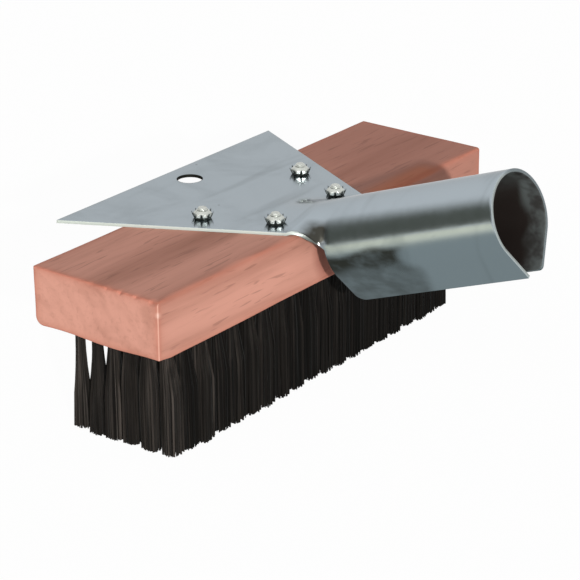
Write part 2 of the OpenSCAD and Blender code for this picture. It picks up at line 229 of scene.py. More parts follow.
def grid_faces(rows, columns, closed=False):
    """Quads of a grid of points numbered row by row; closed joins the last column to
    the first one."""
    span = columns if closed else columns - 1
    i, j = np.meshgrid(np.arange(rows - 1), np.arange(span), indexing="ij")
    here, beside = i * columns + j, i * columns + (j + 1) % columns
    quads = np.stack([here, beside, beside + columns, here + columns], -1)
    return quads.reshape(-1, 4)


def loop_faces(rings, steps):
    """Quads of closed rings that run round a section, so that the last joins the first."""
    seam, last = np.arange(steps), (rings - 1) * steps
    beside = np.roll(seam, -1)
    close = np.stack([last + seam, last + beside, beside, seam], -1)
    return np.concatenate([grid_faces(rings, steps, closed=True), close])


def fan_faces(ring, pole):
    """Triangles from a pole to each pair of neighbours on a closed ring."""
    return np.stack([ring, np.roll(ring, -1), np.full(len(ring), pole)], -1)


def end_fans(rings, steps):
    """Triangles that close a stack of rings: the first ring on the point numbered next
    after the rings, and the last ring on the point after that."""
    ring, pole = np.arange(steps), rings * steps
    return np.concatenate([fan_faces(ring, pole), fan_faces(ring + pole - steps, pole + 1)])


def around_z(radii, turn, heights):
    """Points at these radii, angles about Z and heights."""
    return np.stack([radii * np.cos(turn), radii * np.sin(turn), heights], -1)


def mesh_object(name, points, *faces, outward=True):
    """A mesh object at the origin, from an array of points and an array of faces for
    each number of corners. outward turns the faces of a closed shape outwards."""
    points = np.asarray(points, np.float32).reshape(-1, 3)
    corners = np.concatenate([f.ravel() for f in faces]).astype(np.int32)
    sizes = np.concatenate([np.full(len(f), f.shape[1]) for f in faces])
    starts = (np.cumsum(sizes) - sizes).astype(np.int32)
    mesh = bpy.data.meshes.new(name)
    mesh.vertices.add(len(points))
    mesh.vertices.foreach_set("co", points.ravel())
    mesh.loops.add(len(corners))
    mesh.loops.foreach_set("vertex_index", corners)
    mesh.polygons.add(len(sizes))
    mesh.polygons.foreach_set("loop_start", starts)
    mesh.update(calc_edges=True)
    mesh.validate()
    if outward:
        tidy(mesh, outward=True)
    piece = bpy.data.objects.new(name, mesh)
    bpy.context.scene.collection.objects.link(piece)
    return piece


def tidy(mesh, merge=0.0, outward=False):
    """Merges points closer than merge, and turns the faces of a closed shape outwards."""
    shape = bmesh.new()
    shape.from_mesh(mesh)
    if merge:
        bmesh.ops.remove_doubles(shape, verts=shape.verts, dist=merge)
    if outward:
        bmesh.ops.recalc_face_normals(shape, faces=shape.faces)
    shape.to_mesh(mesh)
    shape.free()


def stack_meshes(parts):
    """Joins (points, faces) pairs of one face size into one pair."""
    firsts = np.cumsum([0] + [len(points) for points, _ in parts[:-1]])
    points = np.concatenate([points for points, _ in parts])
    faces = np.concatenate([faces + first for (_, faces), first in zip(parts, firsts)])
    return points, faces


def modify(piece, kind, **settings):
    """Adds a modifier with these settings."""
    modifier = piece.modifiers.new(kind.title(), kind)
    for key, value in settings.items():
        setattr(modifier, key, value)


def apply_modifiers(piece):
    """Makes what the modifiers show the piece's own mesh."""
    depsgraph = bpy.context.evaluated_depsgraph_get()
    shown = bpy.data.meshes.new_from_object(piece.evaluated_get(depsgraph))
    old = piece.data
    piece.modifiers.clear()
    piece.data = shown
    shown.name = piece.name
    bpy.data.meshes.remove(old)


def cut(piece, cutter):
    """Takes the cutter's closed shape out of the piece and deletes the cutter."""
    modify(piece, "BOOLEAN", operation="DIFFERENCE", solver="EXACT", object=cutter)
    apply_modifiers(piece)
    bpy.data.meshes.remove(cutter.data)


def turned(radii, heights, steps):
    """Closed surface of revolution about Z: ring k has radius radii[k], which may be an
    array over the turn, at heights[k], and the first and last rings close on a pole."""
    turn = np.linspace(0, 2 * math.pi, steps, endpoint=False)
    radii = np.stack([np.broadcast_to(r, steps) for r in radii])
    levels = np.stack([np.broadcast_to(h, steps) for h in heights])
    poles = [[0, 0, heights[0]], [0, 0, heights[-1]]]
    points = np.concatenate([around_z(radii, turn, levels).reshape(-1, 3), poles])
    return points, grid_faces(len(radii), steps, closed=True), end_fans(len(radii), steps)


def pegs(name, places, radius, low, high, steps=72):
    """Closed upright cylinders of one radius at several places, as one cutter."""
    points, quads, caps = turned([radius, radius], [low, high], steps)
    shifts = np.array([(x, y, 0.0) for x, y in places])
    moved = points[None] + shifts[:, None] + TOP
    ahead = len(points) * np.arange(len(places))[:, None, None]
    return mesh_object(
        name, moved, (quads + ahead).reshape(-1, 4), (caps + ahead).reshape(-1, 3)
    )


def bolt_places():
    """The bolts' places from the middle of the block's top face, out of the frame."""
    boxes = [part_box("bolt_" + place) for place in PLACES]
    return [tuple(((low + high) / 2 - Vector(TOP)).xy) for low, high in boxes]


def ripples(points, wavelength, seed, waves=9):
    """Smooth unevenness of about -1 to 1: twice the mean of plane waves with fixed
    random directions and phases."""
    chance = np.random.default_rng(seed)
    ways = chance.normal(size=(waves, 3))
    ways *= 2 * math.pi / wavelength / np.linalg.norm(ways, axis=1)[:, None]
    phases = chance.uniform(0, 2 * math.pi, waves)
    return np.cos(points @ ways.T + phases).mean(-1) * 2


def smooth_step(low, high, value):
    """0 below low, 1 above high and a smooth rise between them."""
    t = np.clip((value - low) / (high - low), 0, 1)
    return t * t * (3 - 2 * t)


def finish_piece(piece, material, nodes, crease=32):
    """Gives a piece its material and shading, and ties it to the frame."""
    piece.data.materials.clear()
    piece.data.materials.append(material)
    piece.data.shade_smooth()
    piece.data.set_sharp_from_angle(angle=math.radians(crease))
    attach(piece, BODY)
    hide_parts(*nodes)


def feed(tree, node, inputs):
    """Sets a node's inputs to values, or links them to output sockets."""
    for key, value in inputs.items():
        if isinstance(value, bpy.types.NodeSocket):
            tree.links.new(value, node.inputs[key])
        else:
            node.inputs[key].default_value = value


def add(tree, kind, inputs=None, **settings):
    """Adds a shader node with these settings and inputs."""
    node = tree.nodes.new(kind)
    for key, value in settings.items():
        setattr(node, key, value)
    feed(tree, node, inputs or {})
    return node


def empty_tree(owner):
    """The node tree of a material or a world, with nothing in it."""
    owner.use_nodes = True
    owner.node_tree.nodes.clear()
    return owner.node_tree


def new_material(name):
    """A material with a Principled shader on its output, its tree and that shader."""
    material = bpy.data.materials.new(name)
    tree = empty_tree(material)
    shader = add(tree, "ShaderNodeBsdfPrincipled")
    add(tree, "ShaderNodeOutputMaterial", {"Surface": shader.outputs["BSDF"]})
    return material, tree, shader


def object_place(tree):
    """Object coordinates."""
    return add(tree, "ShaderNodeTexCoord").outputs["Object"]


def stretched(tree, scale=(1, 1, 1), turn=(0, 0, 0), shift=(0, 0, 0)):
    """Object coordinates, moved, turned and scaled."""
    return add(tree, "ShaderNodeMapping", {
        "Vector": object_place(tree), "Scale": scale, "Rotation": turn, "Location": shift,
    }).outputs["Vector"]


def place_along(tree, axis):
    """One of the Object coordinates."""
    return add(tree, "ShaderNodeSeparateXYZ", {0: object_place(tree)}).outputs[axis]


def attribute(tree, name):
    """The number that the mesh keeps for each point or face under this name."""
    return add(tree, "ShaderNodeAttribute", attribute_name=name).outputs["Fac"]


def distance(tree, place, point):
    """How far a place is from a point."""
    return add(tree, "ShaderNodeVectorMath", {0: place, 1: point},
               operation="DISTANCE").outputs["Value"]


def noise(tree, vector, scale, detail=2.0, roughness=0.5, distortion=0.0):
    """The grey output of a noise texture."""
    return add(tree, "ShaderNodeTexNoise", {
        "Vector": vector, "Scale": scale, "Detail": detail, "Roughness": roughness,
        "Distortion": distortion,
    }).outputs["Fac"]


def spread(tree, value, low, high, to_low=0.0, to_high=1.0):
    """Maps low to to_low and high to to_high, and clamps between them."""
    return add(tree, "ShaderNodeMapRange", {
        "Value": value, "From Min": low, "From Max": high, "To Min": to_low,
        "To Max": to_high,
    }, interpolation_type="SMOOTHSTEP").outputs["Result"]


def zone(tree, place, origin, start, full, most=1.0):
    """0 as far as start and most from full on, both in mm from origin along an axis."""
    return spread(tree, place, origin + start * MM, origin + full * MM, 0.0, most)


def combine(tree, operation, value, *others):
    """Math nodes that join values or sockets one after the other."""
    for other in others:
        value = add(tree, "ShaderNodeMath", {0: value, 1: other}, operation=operation)
        value = value.outputs[0]
    return value


def blend(tree, factor, first, second):
    """Mixes two colours, given as sockets or as linear colours."""
    first, second = (tint if isinstance(tint, bpy.types.NodeSocket) else (*tint, 1)
                     for tint in (first, second))
    node = add(tree, "ShaderNodeMix", data_type="RGBA", blend_type="MIX")
    feed(tree, node, {0: factor, 6: first, 7: second})
    return node.outputs[2]


def layered(tree, surface, *layers):
    """A colour under layers of other colours, each a pair of its cover and its tint."""
    for cover, tint in layers:
        surface = blend(tree, cover, surface, tint)
    return surface


def toned(tint, factor):
    """A colour made darker or brighter."""
    return tuple(factor * c for c in tint)


def bump(tree, shader, height, depth, strength):
    """Feeds a height to the shader's normal."""
    node = add(tree, "ShaderNodeBump", {
        "Height": height, "Distance": depth, "Strength": strength,
    })
    feed(tree, shader, {"Normal": node.outputs["Normal"]})


def wood_material(settings):
    """Sawn reddish hardwood, from the inside out: faint growth rings, broad soft bands
    and fine streaks along the grain, a brown strip along the top, darker wood to the
    right and on the worn edge, short dark flecks, a painted pool of light on the top
    beside the socket where the socket's shadow falls, a painted shadow on the near side
    under the socket, stained edges and a painted highlight on the near upright edge."""
    material, tree, shader = new_material("wood")
    x, y, z = (place_along(tree, axis) for axis in "XYZ")
    on_top = zone(tree, z, TOP[2], -3, -1)
    slope = (0, math.radians(-8), 0)
    rings = add(tree, "ShaderNodeTexWave", {
        "Vector": stretched(tree, (0.35, 1, 1), slope, (0, -0.1, -0.02)), "Scale": 36.0,
        "Distortion": 7.0, "Detail": 2.0, "Detail Scale": 0.8, "Detail Roughness": 0.6,
    }, wave_type="RINGS", rings_direction="X").outputs["Fac"]
    bands = noise(tree, stretched(tree, (5, 38, 60), slope), 1.0, 3.0, 0.55, 0.5)
    streaks = noise(tree, stretched(tree, (20, 420, 420), slope), 1.0, 4.0, 0.62, 0.3)
    flecks = noise(tree, stretched(tree, (52, 560, 560), slope), 1.0, 1.0, 0.5, 0.4)
    brown_strip = combine(
        tree, "MULTIPLY", zone(tree, y, TOP[1], -20, -11), zone(tree, y, TOP[1], 5, -4),
        zone(tree, z, TOP[2], -1.5, -0.4), spread(tree, bands, 0.25, 0.6, 0.25, 1.0), 0.38,
    )
    tone = combine(
        tree, "ADD", combine(tree, "MULTIPLY", spread(tree, rings, 0.4, 1.0), 0.1),
        spread(tree, bands, 0.44, 0.74, 0.0, 0.56),
        spread(tree, streaks, 0.46, 0.78, 0.0, 0.3), brown_strip,
    )
    worn_edge = combine(tree, "MULTIPLY", zone(tree, y, TOP[1], -24, -33, 0.22), on_top)
    # Darker towards the right end of the block and along the worn top edge
    darkening = combine(tree, "MAXIMUM", zone(tree, x, 0, -10, 90, 0.62), worn_edge)
    fleck = combine(tree, "MULTIPLY", spread(tree, flecks, 0.63, 0.72, 0.0, 0.4),
                    zone(tree, x, BLOCK_LOW.x, 0.5, 3))
    # Painted light: lit orange wood on the top beside the socket, inside the socket's shadow
    painted_lit = combine(tree, "MULTIPLY", zone(tree, x, 0, 96, 80), zone(tree, x, 0, 34, 44),
                    zone(tree, y, TOP[1], -22, -32), on_top, 0.55)
    # Painted shadow on the near side of the block under the socket, round this point
    patch = (9 * MM, BLOCK_LOW.y, TOP[2] - 12 * MM)
    from_shadow_patch = distance(tree, object_place(tree), patch)
    surface = layered(
        tree, blend(tree, tone, settings.wood, settings.grain),
        (darkening, settings.darker_wood),
        (fleck, toned(settings.grain, 0.6)),
        (painted_lit, settings.painted_light),
        (zone(tree, from_shadow_patch, 0, 27, 18, 0.7), settings.painted_shadow),
        (combine(tree, "MULTIPLY", attribute(tree, "edge"), 0.95), settings.edge_stain),
        # Painted highlight on the near upright edge
        (attribute(tree, "glint"), settings.glint_tint),
    )
    feed(tree, shader, {"Base Color": surface, "Roughness": 0.62, "Specular IOR Level": 0.16})
    height = combine(tree, "ADD", streaks, combine(tree, "MULTIPLY", rings, 0.2))
    bump(tree, shader, height, 0.14 * MM, 0.8)
    return material


def sheet_material(settings):
    """Galvanized sheet, from the inside out: satin zinc with fine rolling streaks, soft
    clouds, dull pits and wiped streaks, a painted dark reflection low on the socket and
    beside the neck, the grimy inside of the socket with cleaner zinc at its mouth, pale
    cut edges that are darkened at the right of the mouth, and the dark wall of the
    hanging hole."""
    material, tree, shader = new_material("galvanized_sheet")
    clouds = noise(tree, stretched(tree), 26.0, 3.0, 0.55, 0.6)
    streaks = noise(tree, stretched(tree, (22, 300, 300)), 1.0, 3.0)
    pits = noise(tree, stretched(tree), 150.0, 1.0)
    wiped = noise(tree, stretched(tree, (9, 80, 1), (0, 0, math.radians(54))), 1.0)
    blotches = noise(tree, stretched(tree, (1, 0.6, 1)), 85.0, 3.0, 0.6, 0.15)
    tone = combine(
        tree, "ADD", spread(tree, clouds, 0.42, 0.74, 0.0, 0.3),
        spread(tree, pits, 0.79, 0.83, 0.0, 0.5), spread(tree, wiped, 0.6, 0.78, 0.0, 0.35),
    )
    # Painted dark reflection, broken up by blotches
    dark_reflection = combine(tree, "MULTIPLY", attribute(tree, "dark_reflection"),
                    spread(tree, blotches, 0.34, 0.6, 0.6, 1.0))
    frost = combine(tree, "MULTIPLY", attribute(tree, "frost"),
                    spread(tree, blotches, 0.36, 0.56, 0.25, 1.0))
    inside, rim = attribute(tree, "inside"), attribute(tree, "rim")
    pale_rim = combine(tree, "MAXIMUM", rim, 0.0)
    # Darker cut edges at the right of the mouth, in the smudge colour
    darkened_rim = combine(tree, "MAXIMUM", combine(tree, "MULTIPLY", rim, -1.0), 0.0)
    from_above = stretched(tree, (1, 1, 0))
    from_hole = distance(tree, from_above, (0, TOP[1] + settings.hole_forward, 0))
    hole_wall = zone(tree, from_hole, settings.hole_diameter / 2, 0.35, 0.1)
    surface = layered(
        tree, blend(tree, tone, settings.zinc, settings.smudge),
        (dark_reflection, settings.dark_reflection_tint),
        (inside, blend(tree, frost, settings.grime, settings.frost)),
        (pale_rim, settings.cut_edge),
        (darkened_rim, settings.smudge),
        # The hole's wall takes a darker shade of the painted reflection's colour
        (hole_wall, toned(settings.dark_reflection_tint, 0.3)),
    )
    satin = combine(tree, "ADD", spread(tree, clouds, 0.3, 0.8, 0.17, 0.25),
                    spread(tree, streaks, 0.3, 0.9, 0.0, 0.05))
    dull = [combine(tree, "MULTIPLY", mark, roughness)
            for mark, roughness in ((pale_rim, 0.5), (inside, 0.42), (hole_wall, 0.7))]
    covered = combine(tree, "MAXIMUM", combine(tree, "MULTIPLY", pale_rim, 0.75),
                      combine(tree, "MULTIPLY", inside, 0.35))
    feed(tree, shader, {
        "Base Color": surface, "Roughness": combine(tree, "MAXIMUM", satin, *dull),
        "Metallic": combine(tree, "SUBTRACT", 1.0, covered),
        "Specular Tint": (0.7, 0.7, 0.7, 1),
    })
    height = combine(tree, "ADD", clouds, combine(tree, "MULTIPLY", streaks, 0.06))
    bump(tree, shader, height, 0.5 * MM, 0.3)
    return material


def plating_material(settings):
    """Bright zinc plating with dull spots."""
    material, tree, shader = new_material("zinc_hardware")
    spots = noise(tree, stretched(tree), 900.0)
    surface = blend(tree, spread(tree, spots, 0.5, 0.8, 0.0, 0.5), settings.plating,
                    toned(settings.plating, 0.55))
    feed(tree, shader, {
        "Base Color": surface, "Roughness": spread(tree, spots, 0.3, 0.8, 0.26, 0.42),
        "Metallic": 0.7,
    })
    return material


def tooth_material(settings):
    """Dark oiled spring steel with brighter spots, for the toothed washers."""
    material, tree, shader = new_material("spring_steel")
    spots = noise(tree, stretched(tree), 1300.0)
    surface = blend(tree, spread(tree, spots, 0.35, 0.75), settings.spring,
                    toned(settings.spring, 3.0))
    feed(tree, shader, {"Base Color": surface, "Roughness": 0.4, "Metallic": 0.8})
    return material


def wire_material(settings):
    """Dark tempered wire whose tone changes from wire to wire and along each one, with painted
    shade that darkens the wires towards the right.
    """
    material, tree, shader = new_material("wire")
    streaks = noise(tree, stretched(tree, (500, 500, 22)), 1.0)
    light = combine(tree, "MULTIPLY", attribute(tree, "tone"),
                    spread(tree, streaks, 0.3, 0.8, 0.2, 1.0))
    surface = blend(tree, light, toned(settings.steel, 0.1), toned(settings.steel, 2.3))
    feed(tree, shader, {"Base Color": surface, "Roughness": 0.6, "Specular IOR Level": 0.05})
    return material


def rounded_profile(half_width, half_height, radii, corner_steps, side_steps):
    """Closed outlines of rectangles with rounded corners, one for each row of the
    arrays. Corner k is its centre plus radii[:, k] times (cos, sin) over a quarter
    turn, and points on a side divide the line between two corners evenly."""
    signs = np.array([(1, 1), (-1, 1), (-1, -1), (1, -1)])
    half = np.stack([half_width, half_height], -1)
    arcs = []
    for k, sign in enumerate(signs):
        turn = math.pi / 2 * (k + np.linspace(0, 1, corner_steps + 1))
        ways = np.stack([np.cos(turn), np.sin(turn)], -1)
        centre = sign * (half - radii[:, k, None])
        arcs.append(centre[:, None] + radii[:, k, None, None] * ways)
    sides = np.linspace(0, 1, side_steps + 1)[1:-1, None]
    outline = []
    for k, arc in enumerate(arcs):
        start, end = arc[:, -1:], arcs[(k + 1) % 4][:, :1]
        outline += [arc, start + (end - start) * sides]
    return np.concatenate(outline, 1)


def block_points(settings):
    """The block's surface about its own middle: its rounded cross-section carried along
    X, drawn in over a quarter turn at both ends and closed there by shrinking rings. The
    top edge on the handle side is worn unevenly, with a dent, and the lower edge on the
    blade's side is rounded further towards the left end."""
    half = np.array((BLOCK_HIGH - BLOCK_LOW) / 2)
    edge, sharpest = settings.edge_radius, 0.05 * MM
    turn_steps, inner_rings, cap_rings = 6, 130, 24
    turn = np.linspace(0, math.pi / 2, turn_steps)
    inset = edge * (1 - np.sin(turn))[::-1]
    run = half[0] - edge + edge * np.cos(turn)[::-1]
    stations = np.linspace(-1, 1, inner_rings + 2)[1:-1] * run[0]
    caps = np.linspace(0, 1, cap_rings + 2)[1:-1]
    at_end = np.ones(len(caps))
    x = np.concatenate([-half[0] * at_end, -run[::-1], stations, run, half[0] * at_end])
    drawn = np.concatenate([edge * at_end, inset[::-1], 0 * stations, inset, edge * at_end])
    shrink = np.concatenate([caps, np.ones(len(x) - 2 * len(caps)), caps[::-1]])

    dent_place, dent_width, dent_depth = -28 * MM, 9 * MM, 2.2 * MM
    uneven = ripples(np.stack([x, 0 * x, 0 * x], -1), 26 * MM, 21)
    worn = settings.worn_radius * (1 + 0.7 * uneven)
    worn += dent_depth * np.exp(-((x - dent_place) / dent_width) ** 2)
    near_end = smooth_step(-half[0] + 14 * MM, -half[0], x)
    plain = np.full(len(x), edge)
    radii = np.stack([
        plain,
        np.maximum(worn - (worn - edge) * near_end, edge),
        plain,
        edge + (settings.knocked_radius - edge) * near_end,
    ], -1)
    radii = np.maximum(radii - drawn[:, None], sharpest)
    outline = rounded_profile(half[1] - drawn, half[2] - drawn, radii,
                              corner_steps=6, side_steps=64)
    outline *= shrink[:, None, None]
    along = np.broadcast_to(x[:, None, None], (*outline.shape[:2], 1))
    return np.concatenate([along, outline], -1), half


def wear(points, half, settings):
    """Uneven faces, splinters torn off the top edge of the left end, and a sagging
    lower edge there. A splinter is a flat cut across the edge: a point whose distances
    from the end and from the top add up to less than the cut's depth moves onto it. The
    depth follows a saw wave along the edge, deeper towards the handle side."""
    x, y, z = np.moveaxis(points, -1, 0)
    out = points / np.linalg.norm(points / half, axis=-1, keepdims=True) / half
    moved = points - out * (settings.waviness * (1 + ripples(points, 30 * MM, 4)))[..., None]
    splinter_width, shallowest = 8.5 * MM, 0.12
    reach = half[1] - y
    across = reach / (2 * half[1])
    saw = 1 - (reach / splinter_width) % 1
    torn = saw ** 2 * smooth_step(0.35, 0.6, across) * 0.8 + shallowest
    torn += 0.5 * smooth_step(0.9, 1.0, across)
    depth = settings.split_depth * (torn + 0.25 * ripples(points * (0, 1, 0), 4 * MM, 11))
    lack = np.clip(depth - (x + half[0]) - (half[2] - z), 0, None) / 2
    moved[..., 0] += lack
    moved[..., 2] -= lack
    at_end = smooth_step(-half[0] + 9 * MM, -half[0] + 0.5 * MM, x)
    at_foot = smooth_step(-half[2] + 6 * MM, -half[2], z)
    sag = 0.5 + 0.5 * np.sin(y / half[1] * 4.4 - 0.8)
    moved[..., 2] += settings.sag_depth * at_end * at_foot * sag
    return moved


def edge_marks(points, half):
    """Marks for the material: how near a point is to an edge of the block, which is
    the second smallest of its distances from the faces, and a painted highlight: a
    light spot on the near upright edge and a thin light line down that edge."""
    gaps = np.sort(half - np.abs(points), -1)
    edge = np.exp(-np.clip(gaps[..., 1], 0, None) / (1.5 * MM))
    corner = np.array([-half[0], -half[1]])
    # Painted highlight: a light spot on the near upright edge and a thin light line down it
    glint_place = np.array([*corner, half[2] - 6.2 * MM])
    glint_size = np.array([0.9, 0.9, 2.3]) * MM
    from_glint = np.linalg.norm((points - glint_place) / glint_size, axis=-1)
    from_corner = np.linalg.norm(points[..., :2] - corner, axis=-1)
    glint = 0.7 * smooth_step(1.15, 0.3, from_glint)
    line = 0.4 * smooth_step(0.6 * MM, 0.2 * MM, from_corner)
    return edge, np.maximum(glint, line)


def store(mesh, name, values, domain="POINT"):
    """Keeps a number for each point or face, for the materials."""
    marks = mesh.attributes.new(name, "FLOAT", domain)
    marks.data.foreach_set("value", np.asarray(values, np.float32).ravel())


class BRUSH_OT_block(bpy.types.Operator):
    """Builds the worn hardwood block"""

    bl_idname = "brush.block"
    bl_label = "Wooden block"

    def execute(self, context):
        settings = context.scene.brush_block
        points, half = block_points(settings)
        edge, glint = edge_marks(points, half)
        points = wear(points, half, settings)
        size = points.shape[:2]
        middle = np.array([0, 0, -half[2]]) + TOP
        poles = points[[0, -1]].mean(1)
        every = np.concatenate([points.reshape(-1, 3), poles]) + middle
        block = mesh_object("block", every, grid_faces(*size, closed=True), end_fans(*size))
        store(block.data, "edge", np.append(edge, (0, 0)))
        store(block.data, "glint", np.append(glint, (0, 0)))
        fasteners = context.scene.brush_fasteners
        places, deep = bolt_places(), 2 * half[2]
        head_low, head_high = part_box("bolt_front_left")
        pocket = (head_high.x - head_low.x) / 2 + settings.pocket_clearance
        bore = fasteners.bolt_diameter / 2 + settings.pocket_clearance
        past = 2 * MM
        cut(block, pegs("pockets", places, pocket, -deep - past, settings.pocket_depth - deep))
        cut(block, pegs("bores", places, bore, -deep - past, past))
        block.visible_glossy = False
        finish_piece(block, wood_material(settings), ["wood_block"])
        return {"FINISHED"}


class SheetForm:
    """Places on the sheet's upper face, about the middle of the block's top face.

    The blade is flat from its edge to bend_y. From there the middle rises on a parabola
    into the straight crown of the socket, the edges follow a cubic curve down to the
    arch, and each cross-section turns from a bell into the arc of the arch."""

    # The edge curve's two inner control points, as shares of its run from either end
    leave = np.array([0.25, 0.38, -0.42])
    arrive = np.array([0.30, 0.36, 0.62])

    # How far before the bend the middle starts to rise, and half the width of the rise
    # there, as shares of the socket's radius
    bend_lead_share = 0.38
    hump_start_share = 0.75

    def __init__(self, settings):
        self.s = settings
        self.blade_half_width = (SHEET_HIGH - SHEET_LOW).x / 2
        self.blade_forward = SHEET_HIGH.y - TOP[1]
        self.radius = settings.socket_radius
        self.along = np.array([0, -math.cos(settings.tilt), math.sin(settings.tilt)])
        self.out = np.array([0, math.sin(settings.tilt), math.cos(settings.tilt)])
        self.crown = self.radius - settings.socket_sink
        self.neck_angle = settings.neck_width / 2 / self.radius
        meets = (settings.thickness - self.crown * self.out[2]) / self.along[2]
        self.meeting = self.socket(0, self.crown, meets)[1:]
        self.meets_y = self.meeting[0]
        self.bend_y = self.meets_y + self.radius * self.bend_lead_share
        self.crown_end = self.socket(0, self.crown, settings.socket_start)
        self.edge_start = np.array([settings.neck_width / 2, -settings.neck_back,
                                    settings.thickness])
        self.edge_end = self.arch(self.neck_angle, settings.socket_start)

    def socket(self, u, v, s):
        """The point u across, v out of and s along the socket's centre line."""
        u, v, s = np.broadcast_arrays(u, v, s)
        across = np.array([1.0, 0, 0])
        return u[..., None] * across + v[..., None] * self.out + s[..., None] * self.along

    def arch(self, turn, s):
        """The arch at an angle from its crown: a circle about the centre line."""
        return self.socket(self.radius * np.sin(turn),
                           self.radius * np.cos(turn) - self.s.socket_sink, s)

    def blade_half(self, y):
        """Half the blade's width, which grows evenly from the neck to its edge."""
        rise = (y + self.s.neck_back) / (self.blade_forward + self.s.neck_back)
        neck = self.s.neck_width / 2
        return neck + (self.blade_half_width - neck) * rise

    def crown_curve(self, t):
        """The crown from t = 0 at bend_y to t = 1 at the socket: (y, z)."""
        y = (self.bend_y * (1 - t) ** 2 + 2 * self.meets_y * t * (1 - t)
             + self.crown_end[1] * t * t)
        return y, self.s.thickness + (self.crown_end[2] - self.s.thickness) * t * t

    def crown_share(self, y):
        """t of the crown at a distance y, from the quadratic formula."""
        a = self.bend_y - 2 * self.meets_y + self.crown_end[1]
        b = 2 * (self.meets_y - self.bend_y)
        return (-b - np.sqrt(b * b - 4 * a * (self.bend_y - y))) / (2 * a)

    def flat_rows(self, across, y):
        """Rows of the flat blade."""
        x = across * self.blade_half(y)
        return np.stack(np.broadcast_arrays(x, y, self.s.thickness), -1)

    def blade_rows(self, across, q):
        """Rows of the blade with its rising middle, from bend_y at q = 0 to the neck."""
        y = self.bend_y + (-self.s.neck_back - self.bend_y) * q
        half = self.blade_half(y)
        start = self.radius * self.hump_start_share
        hump = (start + (half - start) * q ** 3) / half
        bell = (1 - np.cos(math.pi * np.minimum(1, np.abs(across / hump)))) / 2
        top = self.crown_curve(self.crown_share(y))[1]
        z = top + (self.s.thickness - top) * bell
        return np.stack(np.broadcast_arrays(across * half, y, z), -1)

    def neck_rows(self, across, q):
        """Rows of the neck, from the end of the blade at q = 0 to the socket at 1."""
        first = self.crown_share(-self.s.neck_back)
        y, z = self.crown_curve(first + (1 - first) * q)
        run = self.edge_end - self.edge_start
        one, two = self.edge_start + run * self.leave, self.edge_end - run * self.arrive
        t = q[..., None]
        edge = (self.edge_start * (1 - t) ** 3 + 3 * one * t * (1 - t) ** 2
                + 3 * two * t ** 2 * (1 - t) + self.edge_end * t ** 3)
        arched = smooth_step(0, 1, q)
        round_x = np.sin(self.neck_angle * across) / math.sin(self.neck_angle)
        bell = (1 - np.cos(math.pi * np.abs(across))) / 2
        drop = (1 - np.cos(self.neck_angle * across)) / (1 - math.cos(self.neck_angle))
        down = bell + (drop - bell) * arched
        rows = np.stack([edge[..., 0] * (across + (round_x - across) * arched),
                         y + (edge[..., 1] - y) * down, z + (edge[..., 2] - z) * down], -1)
        lead = 2 * np.linalg.norm(self.crown_end[1:] - self.meeting) * (1 - first)
        straight = self.arch(self.neck_angle * across, self.s.socket_start - lead * (1 - q))
        settled = smooth_step(0.02, 0.92, q) * smooth_step(1.0, 0.72, np.abs(across))
        return rows + (straight - rows) * settled[..., None]

    def wing(self, shares, mouth_corner):
        """The side of the socket past the neck's angle: an arc and then a flat flap,
        whose free corners are rounded by starting a column later and ending it sooner.
        The result has a row for each share of the length and a column across."""
        arc_columns, flap_columns, corner_columns = 13, 12, 9
        arc = self.radius * (self.s.arch_angle - self.neck_angle)
        wide = arc + self.s.flap_width
        straight = self.s.flap_width - self.s.neck_corner
        on_arc = np.linspace(0, arc, arc_columns)
        on_flap = arc + np.linspace(0, straight, flap_columns)[1:]
        turn = np.linspace(0, math.pi / 2, corner_columns)
        from_edge = self.s.neck_corner * (1 - np.cos(turn))[::-1]
        w = np.concatenate([on_arc, on_flap, wide - from_edge[1:]])

        def corner(radius):
            within = np.clip(radius - (wide - w), 0, radius)
            return radius - np.sqrt(radius ** 2 - within ** 2)

        start = self.s.socket_start + corner(self.s.neck_corner)
        end = self.s.socket_start + self.s.socket_length - corner(mouth_corner)
        s = start + (end - start) * shares[:, None]
        rolled = self.arch(self.neck_angle + np.minimum(w, arc) / self.radius, s)
        beyond = np.maximum(w - arc, 0) + 0 * s
        a = self.s.arch_angle
        return rolled + self.socket(beyond * math.cos(a), -beyond * math.sin(a), 0)


def soften(strip, across, middle, widths, times=70, strongest=0.9):
    """Evens out the rows round the row middle: each time a point moves towards the mean
    of its four neighbours, by a pull that falls off as a bell curve over the first
    width before the middle and over the second after it, and to nothing at the edges."""
    rows = np.arange(len(strip))[:, None] - middle
    pull = np.exp(-(rows / np.where(rows < 0, *widths)) ** 2)
    pull = pull * smooth_step(1.0, 0.9, np.abs(across))
    pull = strongest * pull[1:-1, 1:-1, None]
    for _ in range(times):
        mean = (strip[:-2, 1:-1] + strip[2:, 1:-1] + strip[1:-1, :-2] + strip[1:-1, 2:]) / 4
        strip[1:-1, 1:-1] += pull * (mean - strip[1:-1, 1:-1])
    return strip


